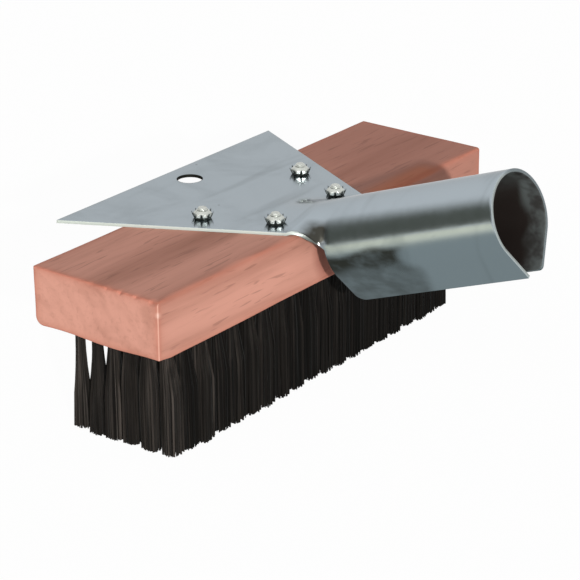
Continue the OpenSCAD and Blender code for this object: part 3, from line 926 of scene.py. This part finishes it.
def sheet_surface(form):
    """Points and quads of the sheet's whole upper face: one strip from the scraping
    edge to the mouth, and the two wings of the socket beside its end."""
    columns, flat_rows, hump_rows, neck_rows, socket_rows = 97, 43, 25, 13, 66
    across = np.linspace(-1, 1, columns)[None]
    y = np.linspace(form.blade_forward, form.bend_y, flat_rows + 1)[:-1, None]
    hump_share = np.linspace(0, 1, hump_rows + 1)[:-1, None]
    neck_share = np.linspace(0, 1, neck_rows + 1)[:-1, None]
    shares = np.linspace(0, 1, socket_rows)
    s = form.s.socket_start + form.s.socket_length * shares[:, None]
    strip = np.concatenate([
        form.flat_rows(across, y),
        form.blade_rows(across, hump_share),
        form.neck_rows(across, np.repeat(neck_share, columns, 1)),
        form.arch(form.neck_angle * across, s),
    ])
    bend_row, neck_row = flat_rows, flat_rows + hump_rows + 4
    strip = soften(strip, across, bend_row, (5, 5))
    strip = soften(strip, across, neck_row, (13, 7))
    right = form.wing(shares, form.s.mouth_corner)
    left = form.wing(shares, 0.0) * (-1, 1, 1)
    parts = [strip, right, left[:, ::-1]]
    return stack_meshes([
        (part.reshape(-1, 3), grid_faces(*part.shape[:2])[:, ::-1]) for part in parts
    ])


def rim_faces(mesh, upper):
    """Which faces of a thickened sheet are its rim, because they join a point of the
    upper face, numbered below upper, to one of the lower face, and the number of each
    face's first point."""
    corners = np.empty(len(mesh.loops), np.int32)
    mesh.loops.foreach_get("vertex_index", corners)
    starts = np.empty(len(mesh.polygons), np.int32)
    mesh.polygons.foreach_get("loop_start", starts)
    sizes = np.diff(np.append(starts, len(corners)))
    below = np.add.reduceat((corners >= upper).astype(int), starts)
    return (below > 0) & (below < sizes), corners[starts]


def mark_sheet(mesh, form):
    """Marks the thickened sheet for its material, by distances in mm past the socket's
    start and past its mouth, and by the angle from its crown to the left:
    rim, how pale the cut edges are, below 0 where they are darkened;
    inside, the lower face within the socket;
    a painted dark reflection low on the socket's left and beside the neck, with ragged limits;
    frost, the cleaner zinc inside the mouth and overhead."""
    upper = len(mesh.vertices) // 2
    is_rim, first = rim_faces(mesh, upper)
    points = np.empty(len(mesh.vertices) * 3, np.float32)
    mesh.vertices.foreach_get("co", points)
    points = points.reshape(-1, 3) - TOP
    across = points[:, 0] / MM
    past_start = (points @ form.along - form.s.socket_start) / MM
    past_mouth = past_start - form.s.socket_length / MM
    out = (points @ form.out + form.s.socket_sink) / form.radius
    turn = np.arctan2(-across, out * form.radius / MM)
    ragged = 5 * ripples(points, 16 * MM, 31)

    pale = 1 - 0.7 * smooth_step(-10, 0, past_start)
    # Darkens the cut edges at the right of the mouth
    pale -= 1.1 * smooth_step(60, 70, past_start) * smooth_step(-6, 4, across)
    store(mesh, "rim", is_rim * pale[first], "FACE")

    inside = smooth_step(-6, 8, past_start) * (np.arange(len(points)) >= upper)
    store(mesh, "inside", inside)

    # Painted dark reflection: low on the socket's left, and beside the neck where the
    # reflected dark band starts
    low_left = smooth_step(48, 38, past_start + ragged)
    low_left *= smooth_step(1.56, 1.74, turn + 0.012 * ragged)
    low_left *= 1 - 0.4 * smooth_step(1.9, 2.15, turn + 0.02 * ragged)
    at_neck = smooth_step(0.76, 1.04, turn + 0.01 * ragged) * smooth_step(1.45, 1.2, turn)
    at_neck *= smooth_step(-10, -3, past_start + 0.35 * ragged)
    at_neck *= smooth_step(5, -1, past_start)
    dark_reflection = np.maximum(low_left, 1.4 * at_neck)
    store(mesh, "dark_reflection", dark_reflection * (past_start > -12) * (across < 0))

    overhead = 0.5 * smooth_step(0.35, 0.8, out) * smooth_step(-45, -15, past_mouth)
    frost = np.maximum(smooth_step(-12, -6, past_mouth + 0.6 * ragged), overhead)
    store(mesh, "frost", frost)


class BRUSH_OT_sheet(bpy.types.Operator):
    """Builds the scraper sheet with its rolled socket"""

    bl_idname = "brush.sheet"
    bl_label = "Scraper sheet"

    def execute(self, context):
        settings = context.scene.brush_sheet
        form = SheetForm(settings)
        points, quads = sheet_surface(form)
        sheet = mesh_object("scraper", points + TOP, quads, outward=False)
        tidy(sheet.data, merge=0.002 * MM)
        modify(sheet, "SOLIDIFY", thickness=settings.thickness, offset=-1,
               use_even_offset=True, use_rim=True)
        apply_modifiers(sheet)
        mark_sheet(sheet.data, form)
        past = 3 * MM
        bolt = context.scene.brush_fasteners.bolt_diameter
        hole = [(0, settings.hole_forward)]
        cut(sheet, pegs("hole", hole, settings.hole_diameter / 2, -past, 2 * past))
        cut(sheet, pegs("bolt_holes", bolt_places(), bolt / 2 + settings.bolt_hole_gap,
                        -past, 2 * past))
        modify(sheet, "BEVEL", width=settings.rim, segments=2, limit_method="ANGLE",
               angle_limit=math.radians(55), miter_outer="MITER_ARC")
        apply_modifiers(sheet)
        finish_piece(sheet, sheet_material(settings), ["scraper_sheet"])
        return {"FINISHED"}


def bolt_mesh(settings, head_radius, head_height, reach):
    """A bolt from its head's face at Z = 0 up to reach: rings of a turned profile with
    softened edges, and over the last millimetres rings whose radius follows a helix,
    r = R - depth * wave(z / pitch - turn), inside the cone of the tip."""
    steps = 48
    turn = np.linspace(0, 1, steps, endpoint=False)
    major, threaded = settings.bolt_diameter / 2, 5 * MM
    tip, taper, soft = 0.6 * MM, 0.9, 0.35 * MM
    softer = 0.3 * soft
    radii = [head_radius - soft, head_radius - softer, head_radius, head_radius,
             head_radius - softer, head_radius - soft, major, major]
    heights = [0, softer, soft, head_height - soft, head_height - softer,
               head_height, head_height, head_height + soft]
    for z in np.arange(reach - threaded, reach, settings.pitch / 10):
        wave = 0.5 - 0.5 * np.cos(2 * math.pi * (z / settings.pitch - turn))
        cone = max(0.0, z - (reach - tip)) * taper
        radii.append(np.minimum(major - settings.thread_depth * wave, major - cone))
        heights.append(z)
    return turned([*radii, major - taper * tip], [*heights, reach], steps)


def nut_mesh(settings, height):
    """A hexagon nut from Z = 0 to height: r = min(hexagon(turn), top cone, bottom cone)
    on the outside, and a plain bore."""
    steps, half = 72, settings.nut_width / 2
    turn = np.linspace(0, 2 * math.pi, steps, endpoint=False)
    sixth = math.pi / 3
    hexagon = half / np.cos((turn + sixth / 2) % sixth - sixth / 2)
    top_face, top_slant = 0.72 * half, 1.05
    bottom_face, bottom_slant = 0.97 * half, math.sqrt(3)
    bore = settings.bolt_diameter / 2 + 0.05 * MM
    radii, heights = [bore, bore], [0, height]
    for z in height * np.array([1, 0.9, 0.8, 0.7, 0.6, 0.5, 0.3, 0.12, 0.06, 0.03, 0]):
        cones = min(top_face + top_slant * (height - z), bottom_face + bottom_slant * z)
        radii.append(np.minimum(hexagon, cones))
        heights.append(z)
    radii = np.stack([np.broadcast_to(r, steps) for r in radii])
    heights = np.repeat(np.array(heights)[:, None], steps, 1)
    return around_z(radii, turn, heights).reshape(-1, 3), loop_faces(len(radii), steps)


def washer_mesh(settings, inner, outer):
    """A lock washer with bent teeth: rings round a thin section. Each tooth narrows
    towards its tip, and a part t of the way out it stands at root + (outer - root) * t
    and height rise * t ** 1.5, twisted about its own middle line."""
    tooth_steps = 24
    steps = settings.teeth * tooth_steps
    turn = np.linspace(0, 2 * math.pi, steps, endpoint=False)
    phase = (np.arange(steps) % tooth_steps) / tooth_steps * 2 - 1
    root_share, twist_share = 0.45, 0.35
    root = inner + root_share * (outer - inner)
    twist = twist_share * settings.tooth_stock * phase
    radii, heights = [inner + 0 * turn, root + 0 * turn], [0 * turn, 0 * turn]
    for t in np.linspace(0, 1, 6)[1:]:
        inside = smooth_step(0.72 - 0.52 * t, 0.58 - 0.52 * t, np.abs(phase))
        radii.append(np.maximum(radii[-1], root + (outer - root) * t * inside))
        bent = settings.tooth_rise * t ** 1.5 + twist
        heights.append(np.where(inside > 0, bent * inside, 0) + (1 - inside) * heights[-1])
    lower = around_z(np.stack(radii), turn, np.stack(heights))
    rings = np.concatenate([lower, lower[::-1] + (0, 0, settings.tooth_stock)])
    return rings.reshape(-1, 3), loop_faces(len(rings), steps)


def seated(name, shape, degrees, foot):
    """A mesh object from points and faces, turned about Z and moved onto its foot."""
    points, *faces = shape
    turn = np.array(Matrix.Rotation(math.radians(degrees), 3, "Z"))
    return mesh_object(name, points @ turn.T + foot, *faces)


# How far each nut is turned, in degrees
NUT_TURNS = {"front_left": 33.0, "front_right": 44.0, "rear_left": 38.0, "rear_right": 35.0}


class BRUSH_OT_fasteners(bpy.types.Operator):
    """Builds the four bolts with their nuts and toothed lock washers"""

    bl_idname = "brush.fasteners"
    bl_label = "Bolts, nuts and washers"

    def execute(self, context):
        settings, block = context.scene.brush_fasteners, context.scene.brush_block
        plated, springy = plating_material(settings), tooth_material(settings)
        inner = settings.bolt_diameter / 2 + block.pocket_clearance
        for place in PLACES:
            low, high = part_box("bolt_" + place)
            foot = np.array([(low.x + high.x) / 2, (low.y + high.y) / 2, low.z])
            head = (high.x - low.x) / 2
            height = BLOCK_LOW.z + block.pocket_depth - low.z
            shape = bolt_mesh(settings, head, height, high.z - low.z)
            bolt = seated("bolt_piece_" + place, shape, 0, foot)
            cut(bolt, slot_cutter(settings, head, foot))
            finish_piece(bolt, plated, ["bolt_" + place], crease=40)

            low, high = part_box("nut_" + place)
            foot[2] = low.z
            shape = nut_mesh(settings, high.z - low.z)
            nut = seated("nut_piece_" + place, shape, NUT_TURNS[place], foot)
            finish_piece(nut, plated, ["nut_" + place], crease=25)

            low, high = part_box("lock_washer_" + place)
            foot[2] = low.z
            shape = washer_mesh(settings, inner, (high.x - low.x) / 2)
            turn = NUT_TURNS[place] + 180 / settings.teeth
            washer = seated("washer_piece_" + place, shape, turn, foot)
            finish_piece(washer, springy, ["lock_washer_" + place], crease=30)
        return {"FINISHED"}


def slot_cutter(settings, head, foot):
    """A box across a bolt head's lower face."""
    half = np.array([head + MM, settings.slot_width / 2, settings.slot_depth])
    signs = np.array([(x, y, z) for z in (-1, 1) for x, y in SQUARE])
    sides = grid_faces(2, 4, closed=True)
    ends = np.array([(0, 1, 2, 3), (4, 5, 6, 7)])
    return mesh_object("slot", signs * half + foot, np.concatenate([sides, ends]))


def row_tufts(settings, node):
    """The places along X of a row's tufts, which the bolt pockets interrupt, the row's
    Y, and the pitch along the row and between rows."""
    low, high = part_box(node)
    pitch = (high.x - low.x) / settings.columns
    x = low.x + pitch * (np.arange(settings.columns) + 0.5)
    y = (low.y + high.y) / 2
    clear = np.ones(len(x), bool)
    for place in PLACES:
        bolt_low, bolt_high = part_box("bolt_" + place)
        middle = (bolt_low + bolt_high) / 2
        head = (bolt_high.x - bolt_low.x) / 2
        apart = np.hypot(x - middle.x, y - middle.y)
        clear &= apart > head + settings.root_diameter / 2
    return x[clear], y, pitch, high.y - low.y


def tuft_disc(chance, tufts, wires):
    """The wires' places in tufts of radius 1: wire k of n stands k golden angles round
    and sqrt((k + 0.5) / n) out, with a little scatter."""
    order = (np.arange(wires) + 0.5) / wires
    spiral = np.arange(wires) * math.pi * (3 - math.sqrt(5))
    disc = np.stack([np.cos(spiral), np.sin(spiral)], -1) * np.sqrt(order)[:, None]
    return disc[None] + chance.normal(0, 0.03, (tufts, wires, 2))


def tip_places(settings, disc, x, away, pitch, row_pitch):
    """The tips' places about the middle of each tuft: the disc, nearly half way to a
    square, stretched over the tuft's cell and a little narrower on the outside of the
    brush. The two rows nearest the handle lean out towards it by up to the flare, less
    to the right. At both ends of the rows the tips lean inwards by up to the crowding,
    most at the right."""
    round_share, square_share = 0.55, 0.45
    narrower_at_end, narrower_at_side = 0.8, 0.93
    square = disc / np.maximum(np.abs(disc).max(-1, keepdims=True), 1e-6)
    square *= np.linalg.norm(disc, axis=-1, keepdims=True)
    cell = np.array([pitch - settings.tuft_gap, row_pitch - settings.tuft_gap]) / 2
    place = disc * round_share + square * square_share
    place = place * (cell - settings.wire_width / 2)
    from_middle = x - x.mean()
    last_tufts = np.abs(from_middle) > np.ptp(x) / 2 - MM
    outside = last_tufts[:, None] & (place[..., 0] * from_middle[:, None] > 0)
    place[..., 0] *= np.where(outside, narrower_at_end, 1)
    outside = (abs(away) > 2 * row_pitch) & (place[..., 1] * away > 0)
    place[..., 1] *= np.where(outside, narrower_at_side, 1)

    from_left, from_right = (x - x.min()) / pitch, (x.max() - x) / pitch
    flared = smooth_step(-1.0, -2.5, away / row_pitch)
    easing = 1 - 0.62 * smooth_step(3.0, 9.0, from_left)
    place[..., 1] -= settings.flare * flared * easing[:, None]
    lean = 0.25 * flared * smooth_step(1.5, 0.0, from_left)
    lean -= (0.5 + 0.5 * flared) * smooth_step(2.0, 0.0, from_right)
    place[..., 0] += settings.crowding * lean[:, None]
    return place


def tip_lift(settings, chance, disc):
    """How far short of the floor each wire ends: uneven between tufts and within them,
    more at a tuft's rim, and tilted across the tuft."""
    tufts, wires = disc.shape[:2]
    lift = settings.ragged * chance.random((tufts, 1)) ** 2
    lift = lift + settings.wire_ragged * chance.random((tufts, wires))
    lift += 0.3 * MM * np.linalg.norm(disc, axis=-1) ** 4
    tilt = chance.uniform(-1, 1, (tufts, 1, 2)) * settings.slant / 2
    return np.clip(lift + (disc * tilt).sum(-1), 0, None)


def flat_sections(settings, chance, centre):
    """The four corners of each flat wire about the points of its centre line, with the
    wire's broad side facing any way."""
    turn = chance.uniform(0, math.pi, (*centre.shape[:2], 1, 1))
    wide = np.concatenate([np.cos(turn), np.sin(turn)], -1) * settings.wire_width / 2
    thin = np.concatenate([-np.sin(turn), np.cos(turn)], -1) * settings.wire_stock / 2
    return np.stack([centre + wide + thin, centre - wide + thin, centre - wide - thin,
                     centre + wide - thin], -2)


def wire_faces(rings, wires):
    """Quads of wires that each have this many four-cornered rings and two end faces."""
    last = 4 * (rings - 1)
    ends = np.array([(0, 1, 2, 3), (last + 3, last + 2, last + 1, last)])
    one = np.concatenate([grid_faces(rings, 4, closed=True), ends])
    firsts = 4 * rings * np.arange(wires)[:, None, None]
    return (one[None] + firsts).reshape(-1, 4)


def bristle_wires(settings, node, seed):
    """Points, quads and tones of a row's wires. A wire starts in the round root, moves
    to its tip's place over the spread, and hangs from there:
    p(depth) = root + (tip - root) * (depth / spread) ** power + bow. Spread and power
    grow towards the ends of the rows on the blade's side, whose tufts stay round for
    longer. The tones vary at random and darken from the left end of the block to the
    right as painted shade."""
    chance = np.random.default_rng(seed)
    x, y, pitch, row_pitch = row_tufts(settings, node)
    away = y - TOP[1]
    tufts, wires = len(x), settings.wires
    disc = tuft_disc(chance, tufts, wires)
    root = disc * (settings.root_diameter / 2 - settings.wire_width / 2)
    place = tip_places(settings, disc, x, away, pitch, row_pitch)
    lift = tip_lift(settings, chance, disc)

    free, start = BLOCK_LOW.z, -2.0 * MM
    shares = np.array([0.0, 0.16, 0.32, 0.46, 0.58, 0.7, 1.0])
    depth = start + (free - lift - start)[..., None] * shares
    from_end, late_tufts = (np.ptp(x) / 2 - np.abs(x - x.mean())) / pitch, 3
    late = np.exp(-(from_end / late_tufts) ** 2) * smooth_step(-0.5, 1.5, away / row_pitch)
    late = late[:, None, None]
    over = settings.spread + (settings.late_spread - settings.spread) * late
    power = 0.8 + 1.7 * late
    eased = np.clip(depth / over, 0, 1) ** power
    centre = root[:, :, None] + (place - root)[:, :, None] * eased[..., None]
    bend = chance.normal(0, settings.bow / 2, (tufts, wires, 1, 2))
    centre = centre + bend * (np.sin(shares * math.pi * 1.2) * shares)[:, None]
    middle = np.stack([x, np.full(tufts, y)], -1)[:, None, None]
    corners = flat_sections(settings, chance, centre + middle)
    height = np.broadcast_to((free - depth)[..., None, None], (*corners.shape[:-1], 1))
    points = np.concatenate([corners, np.maximum(height, 0.0)], -1)

    # Painted shade: the wires darken from the left end of the block to the right
    shaded_tone, shade_length = 0.06, 60 * MM
    fade = np.exp(-(x[:, None] - BLOCK_LOW.x) / shade_length)
    tone = chance.random((tufts, 1)) * 0.4 + chance.random((tufts, wires)) ** 3 * 0.8
    tone = tone * (shaded_tone + (1 - shaded_tone) * fade)
    rings = len(shares)
    tones = np.repeat(tone.ravel(), 4 * rings)
    return points.reshape(-1, 3), wire_faces(rings, tufts * wires), tones


class BRUSH_OT_bristles(bpy.types.Operator):
    """Builds the six rows of wire tufts"""

    bl_idname = "brush.bristles"
    bl_label = "Wire tufts"

    def execute(self, context):
        settings = context.scene.brush_bristles
        material = wire_material(settings)
        for index, node in enumerate(ROWS):
            points, quads, tones = bristle_wires(settings, node, seed=40 + index)
            row = mesh_object("wires_" + node[-1], points, quads)
            row.visible_glossy = False
            store(row.data, "tone", tones)
            finish_piece(row, material, [node], crease=50)
        return {"FINISHED"}


def facing(azimuth, elevation):
    """The way towards a point seen at this azimuth and elevation. Azimuth 0 is towards
    the handle and grows to the right of a viewer there."""
    return Vector((math.sin(azimuth) * math.cos(elevation),
                   -math.cos(azimuth) * math.cos(elevation), math.sin(elevation)))


def add_camera(settings):
    """The camera, from the target, the distance, two angles and the roll."""
    data = bpy.data.cameras.new("camera")
    data.lens, data.sensor_width = settings.lens, 36
    back = facing(settings.azimuth, settings.elevation)
    right = Vector((0, 0, 1)).cross(back).normalized()
    up = back.cross(right)
    turn, side = math.cos(settings.roll), math.sin(settings.roll)
    axes = Matrix((right * turn - up * side, up * turn + right * side, back)).transposed()
    camera = bpy.data.objects.new("camera", data)
    camera.matrix_world = Matrix.Translation(
        Vector(settings.target) + back * settings.distance
    ) @ axes.to_4x4()
    bpy.context.scene.collection.objects.link(camera)
    bpy.context.scene.camera = camera


def add_sun(name, azimuth, elevation, strength, softness, tint):
    """A distant lamp whose light comes from the given direction, with softness, its
    width in degrees."""
    data = bpy.data.lights.new(name, "SUN")
    data.energy, data.angle, data.color = strength, math.radians(softness), tint
    lamp = bpy.data.objects.new(name, data)
    lamp.rotation_euler = facing(azimuth, elevation).to_track_quat("Z", "Y").to_euler()
    bpy.context.scene.collection.objects.link(lamp)


def white_to_viewer(tree, surface, white_share):
    """Mixes a shader with plain white for the camera and in reflections."""
    path = add(tree, "ShaderNodeLightPath").outputs
    seen = combine(tree, "MAXIMUM", path["Is Camera Ray"], path["Is Glossy Ray"],
                   path["Is Transmission Ray"])
    white = add(tree, "ShaderNodeEmission", {"Color": (1, 1, 1, 1), "Strength": 1.0})
    factor = combine(tree, "MULTIPLY", seen, white_share)
    mix = add(tree, "ShaderNodeMixShader", {0: factor, 1: surface, 2: white.outputs[0]})
    return mix.outputs[0]


def plane(name, corners):
    """A flat quad from four corners."""
    return mesh_object(name, np.array(corners), np.array([(0, 1, 2, 3)]), outward=False)


def only_in_reflections(card):
    """Leaves a card to glossy rays alone."""
    card.visible_camera = card.visible_diffuse = card.visible_shadow = False
    card.visible_transmission = card.visible_volume_scatter = False


def upright_card(azimuth, wide, away, low, high):
    """Corners of an upright quad that faces the object."""
    way = facing(azimuth, 0)
    side = Vector((0, 0, 1)).cross(way)
    middle = way * away
    return [middle + side * (sign * wide / 2) + Vector((0, 0, z))
            for sign, z in ((-1, low), (1, low), (1, high), (-1, high))]


def card_material(name, tint, fade):
    """A glowing card that clears where fade, a function of the tree and its Object
    coordinates, gives 1."""
    material = bpy.data.materials.new(name)
    tree = empty_tree(material)
    clear = add(tree, "ShaderNodeBsdfTransparent").outputs[0]
    glow = add(tree, "ShaderNodeEmission", {"Color": (*tint, 1)}).outputs[0]
    cleared = fade(tree, object_place(tree))
    mix = add(tree, "ShaderNodeMixShader", {0: cleared, 1: glow, 2: clear})
    add(tree, "ShaderNodeOutputMaterial", {"Surface": mix.outputs[0]})
    return material


def fade_upwards(low, high):
    """Clears from the height low to the height high."""
    def fade(tree, place):
        height = add(tree, "ShaderNodeSeparateXYZ", {0: place}).outputs[2]
        return spread(tree, height, low, high)
    return fade


def fade_outwards(centre, near, far):
    """Clears from the distance near to the distance far from a centre."""
    def fade(tree, place):
        return spread(tree, distance(tree, place, centre), near, far)
    return fade


def add_card(name, corners, tint, fade):
    """A card that only reflections show."""
    card = plane(name, corners)
    card.data.materials.append(card_material(name, tint, fade))
    only_in_reflections(card)


def lying_square(centre, half, height):
    """Corners of a level square."""
    x, y = centre[:2]
    return [(x + i * half, y + j * half, height) for i, j in SQUARE]


def add_cards():
    """What the metal reflects: a dark card behind the left of the brush, which fades
    out upwards, for the dark band along the socket, a pale patch before it for the
    bright line under the band, and a grey card round the brush, a painted shadow on the
    floor for the flaps to reflect."""
    add_card("dark_card", upright_card(math.radians(-140), 1.2, 0.95, 0.0, 0.9),
             (0.138, 0.145, 0.120), fade_upwards(0.43, 0.84))
    # Painted shadow: a grey card round the brush, where the brush's shadow on the floor would
    # show in the flaps
    middle = (-0.06, -0.04, 0.0)
    add_card("painted_floor_shadow", lying_square(middle, 0.4, 0.5 * MM), (0.42, 0.47, 0.47),
             fade_outwards(middle, 0.12, 0.32))
    way = facing(math.radians(-127), 0) * 0.47
    before = (way.x, way.y - 0.06, 0.0)
    add_card("pale_strip", lying_square(before, 0.4, 1.0 * MM), (1.3, 1.27, 1.0),
             fade_outwards(before, 0.10, 0.33))


def add_floor():
    """A wide white floor that keeps the brush's shadow."""
    floor = plane("floor", lying_square((0, 0), half=8.0, height=0.0))
    material, tree, shader = new_material("floor")
    feed(tree, shader, {"Base Color": (0.9, 0.9, 0.9, 1), "Roughness": 0.9})
    output = next(n for n in tree.nodes if n.bl_idname == "ShaderNodeOutputMaterial")
    feed(tree, output, {"Surface": white_to_viewer(tree, shader.outputs["BSDF"], 0.97)})
    floor.data.materials.append(material)


def add_sky(strength):
    """An even light from all round, which is plain white to a viewer."""
    world = bpy.data.worlds.new("studio")
    tree = empty_tree(world)
    light = add(tree, "ShaderNodeBackground", {"Color": (1, 1, 1, 1), "Strength": strength})
    surface = white_to_viewer(tree, light.outputs[0], 1.0)
    add(tree, "ShaderNodeOutputWorld", {"Surface": surface})
    bpy.context.scene.world = world


class BRUSH_OT_studio(bpy.types.Operator):
    """Builds the camera, the lamps and the white floor"""

    bl_idname = "brush.studio"
    bl_label = "Studio"

    def execute(self, context):
        settings = context.scene.brush_studio
        add_camera(settings)
        add_sun("key", settings.key_azimuth, settings.key_elevation, settings.key_strength,
                softness=1.5, tint=(1.0, 0.99, 0.97))
        add_sun("side", math.radians(-80), math.radians(35), settings.side_strength,
                softness=40.0, tint=(1.0, 1.0, 1.0))
        add_floor()
        add_cards()
        add_sky(settings.sky_strength)
        context.scene.view_settings.view_transform = "Standard"
        return {"FINISHED"}


OPERATORS = (
    BRUSH_OT_block, BRUSH_OT_sheet, BRUSH_OT_fasteners, BRUSH_OT_bristles, BRUSH_OT_studio,
)


class BRUSH_PT_panel(bpy.types.Panel):
    """Lists the pieces and their sizes"""

    bl_idname = "BRUSH_PT_panel"
    bl_label = "Scratch brush"
    bl_space_type = "VIEW_3D"
    bl_region_type = "UI"
    bl_category = "Brush"

    def draw(self, context):
        for operator, (key, group) in zip(OPERATORS, SETTINGS.items()):
            box = self.layout.box()
            box.operator(operator.bl_idname)
            for name in group.__annotations__:
                box.prop(getattr(context.scene, key), name)


def register():
    for group in SETTINGS.values():
        bpy.utils.register_class(group)
    for key, group in SETTINGS.items():
        setattr(bpy.types.Scene, key, bpy.props.PointerProperty(type=group))
    for cls in (*OPERATORS, BRUSH_PT_panel):
        bpy.utils.register_class(cls)


def unregister():
    for cls in (BRUSH_PT_panel, *reversed(OPERATORS)):
        bpy.utils.unregister_class(cls)
    for key in SETTINGS:
        delattr(bpy.types.Scene, key)
    for group in SETTINGS.values():
        bpy.utils.unregister_class(group)


def main():
    """Builds every piece in order."""
    register()
    bpy.ops.brush.block()
    bpy.ops.brush.sheet()
    bpy.ops.brush.fasteners()
    bpy.ops.brush.bristles()
    bpy.ops.brush.studio()


if __name__ == "__main__":
    main()
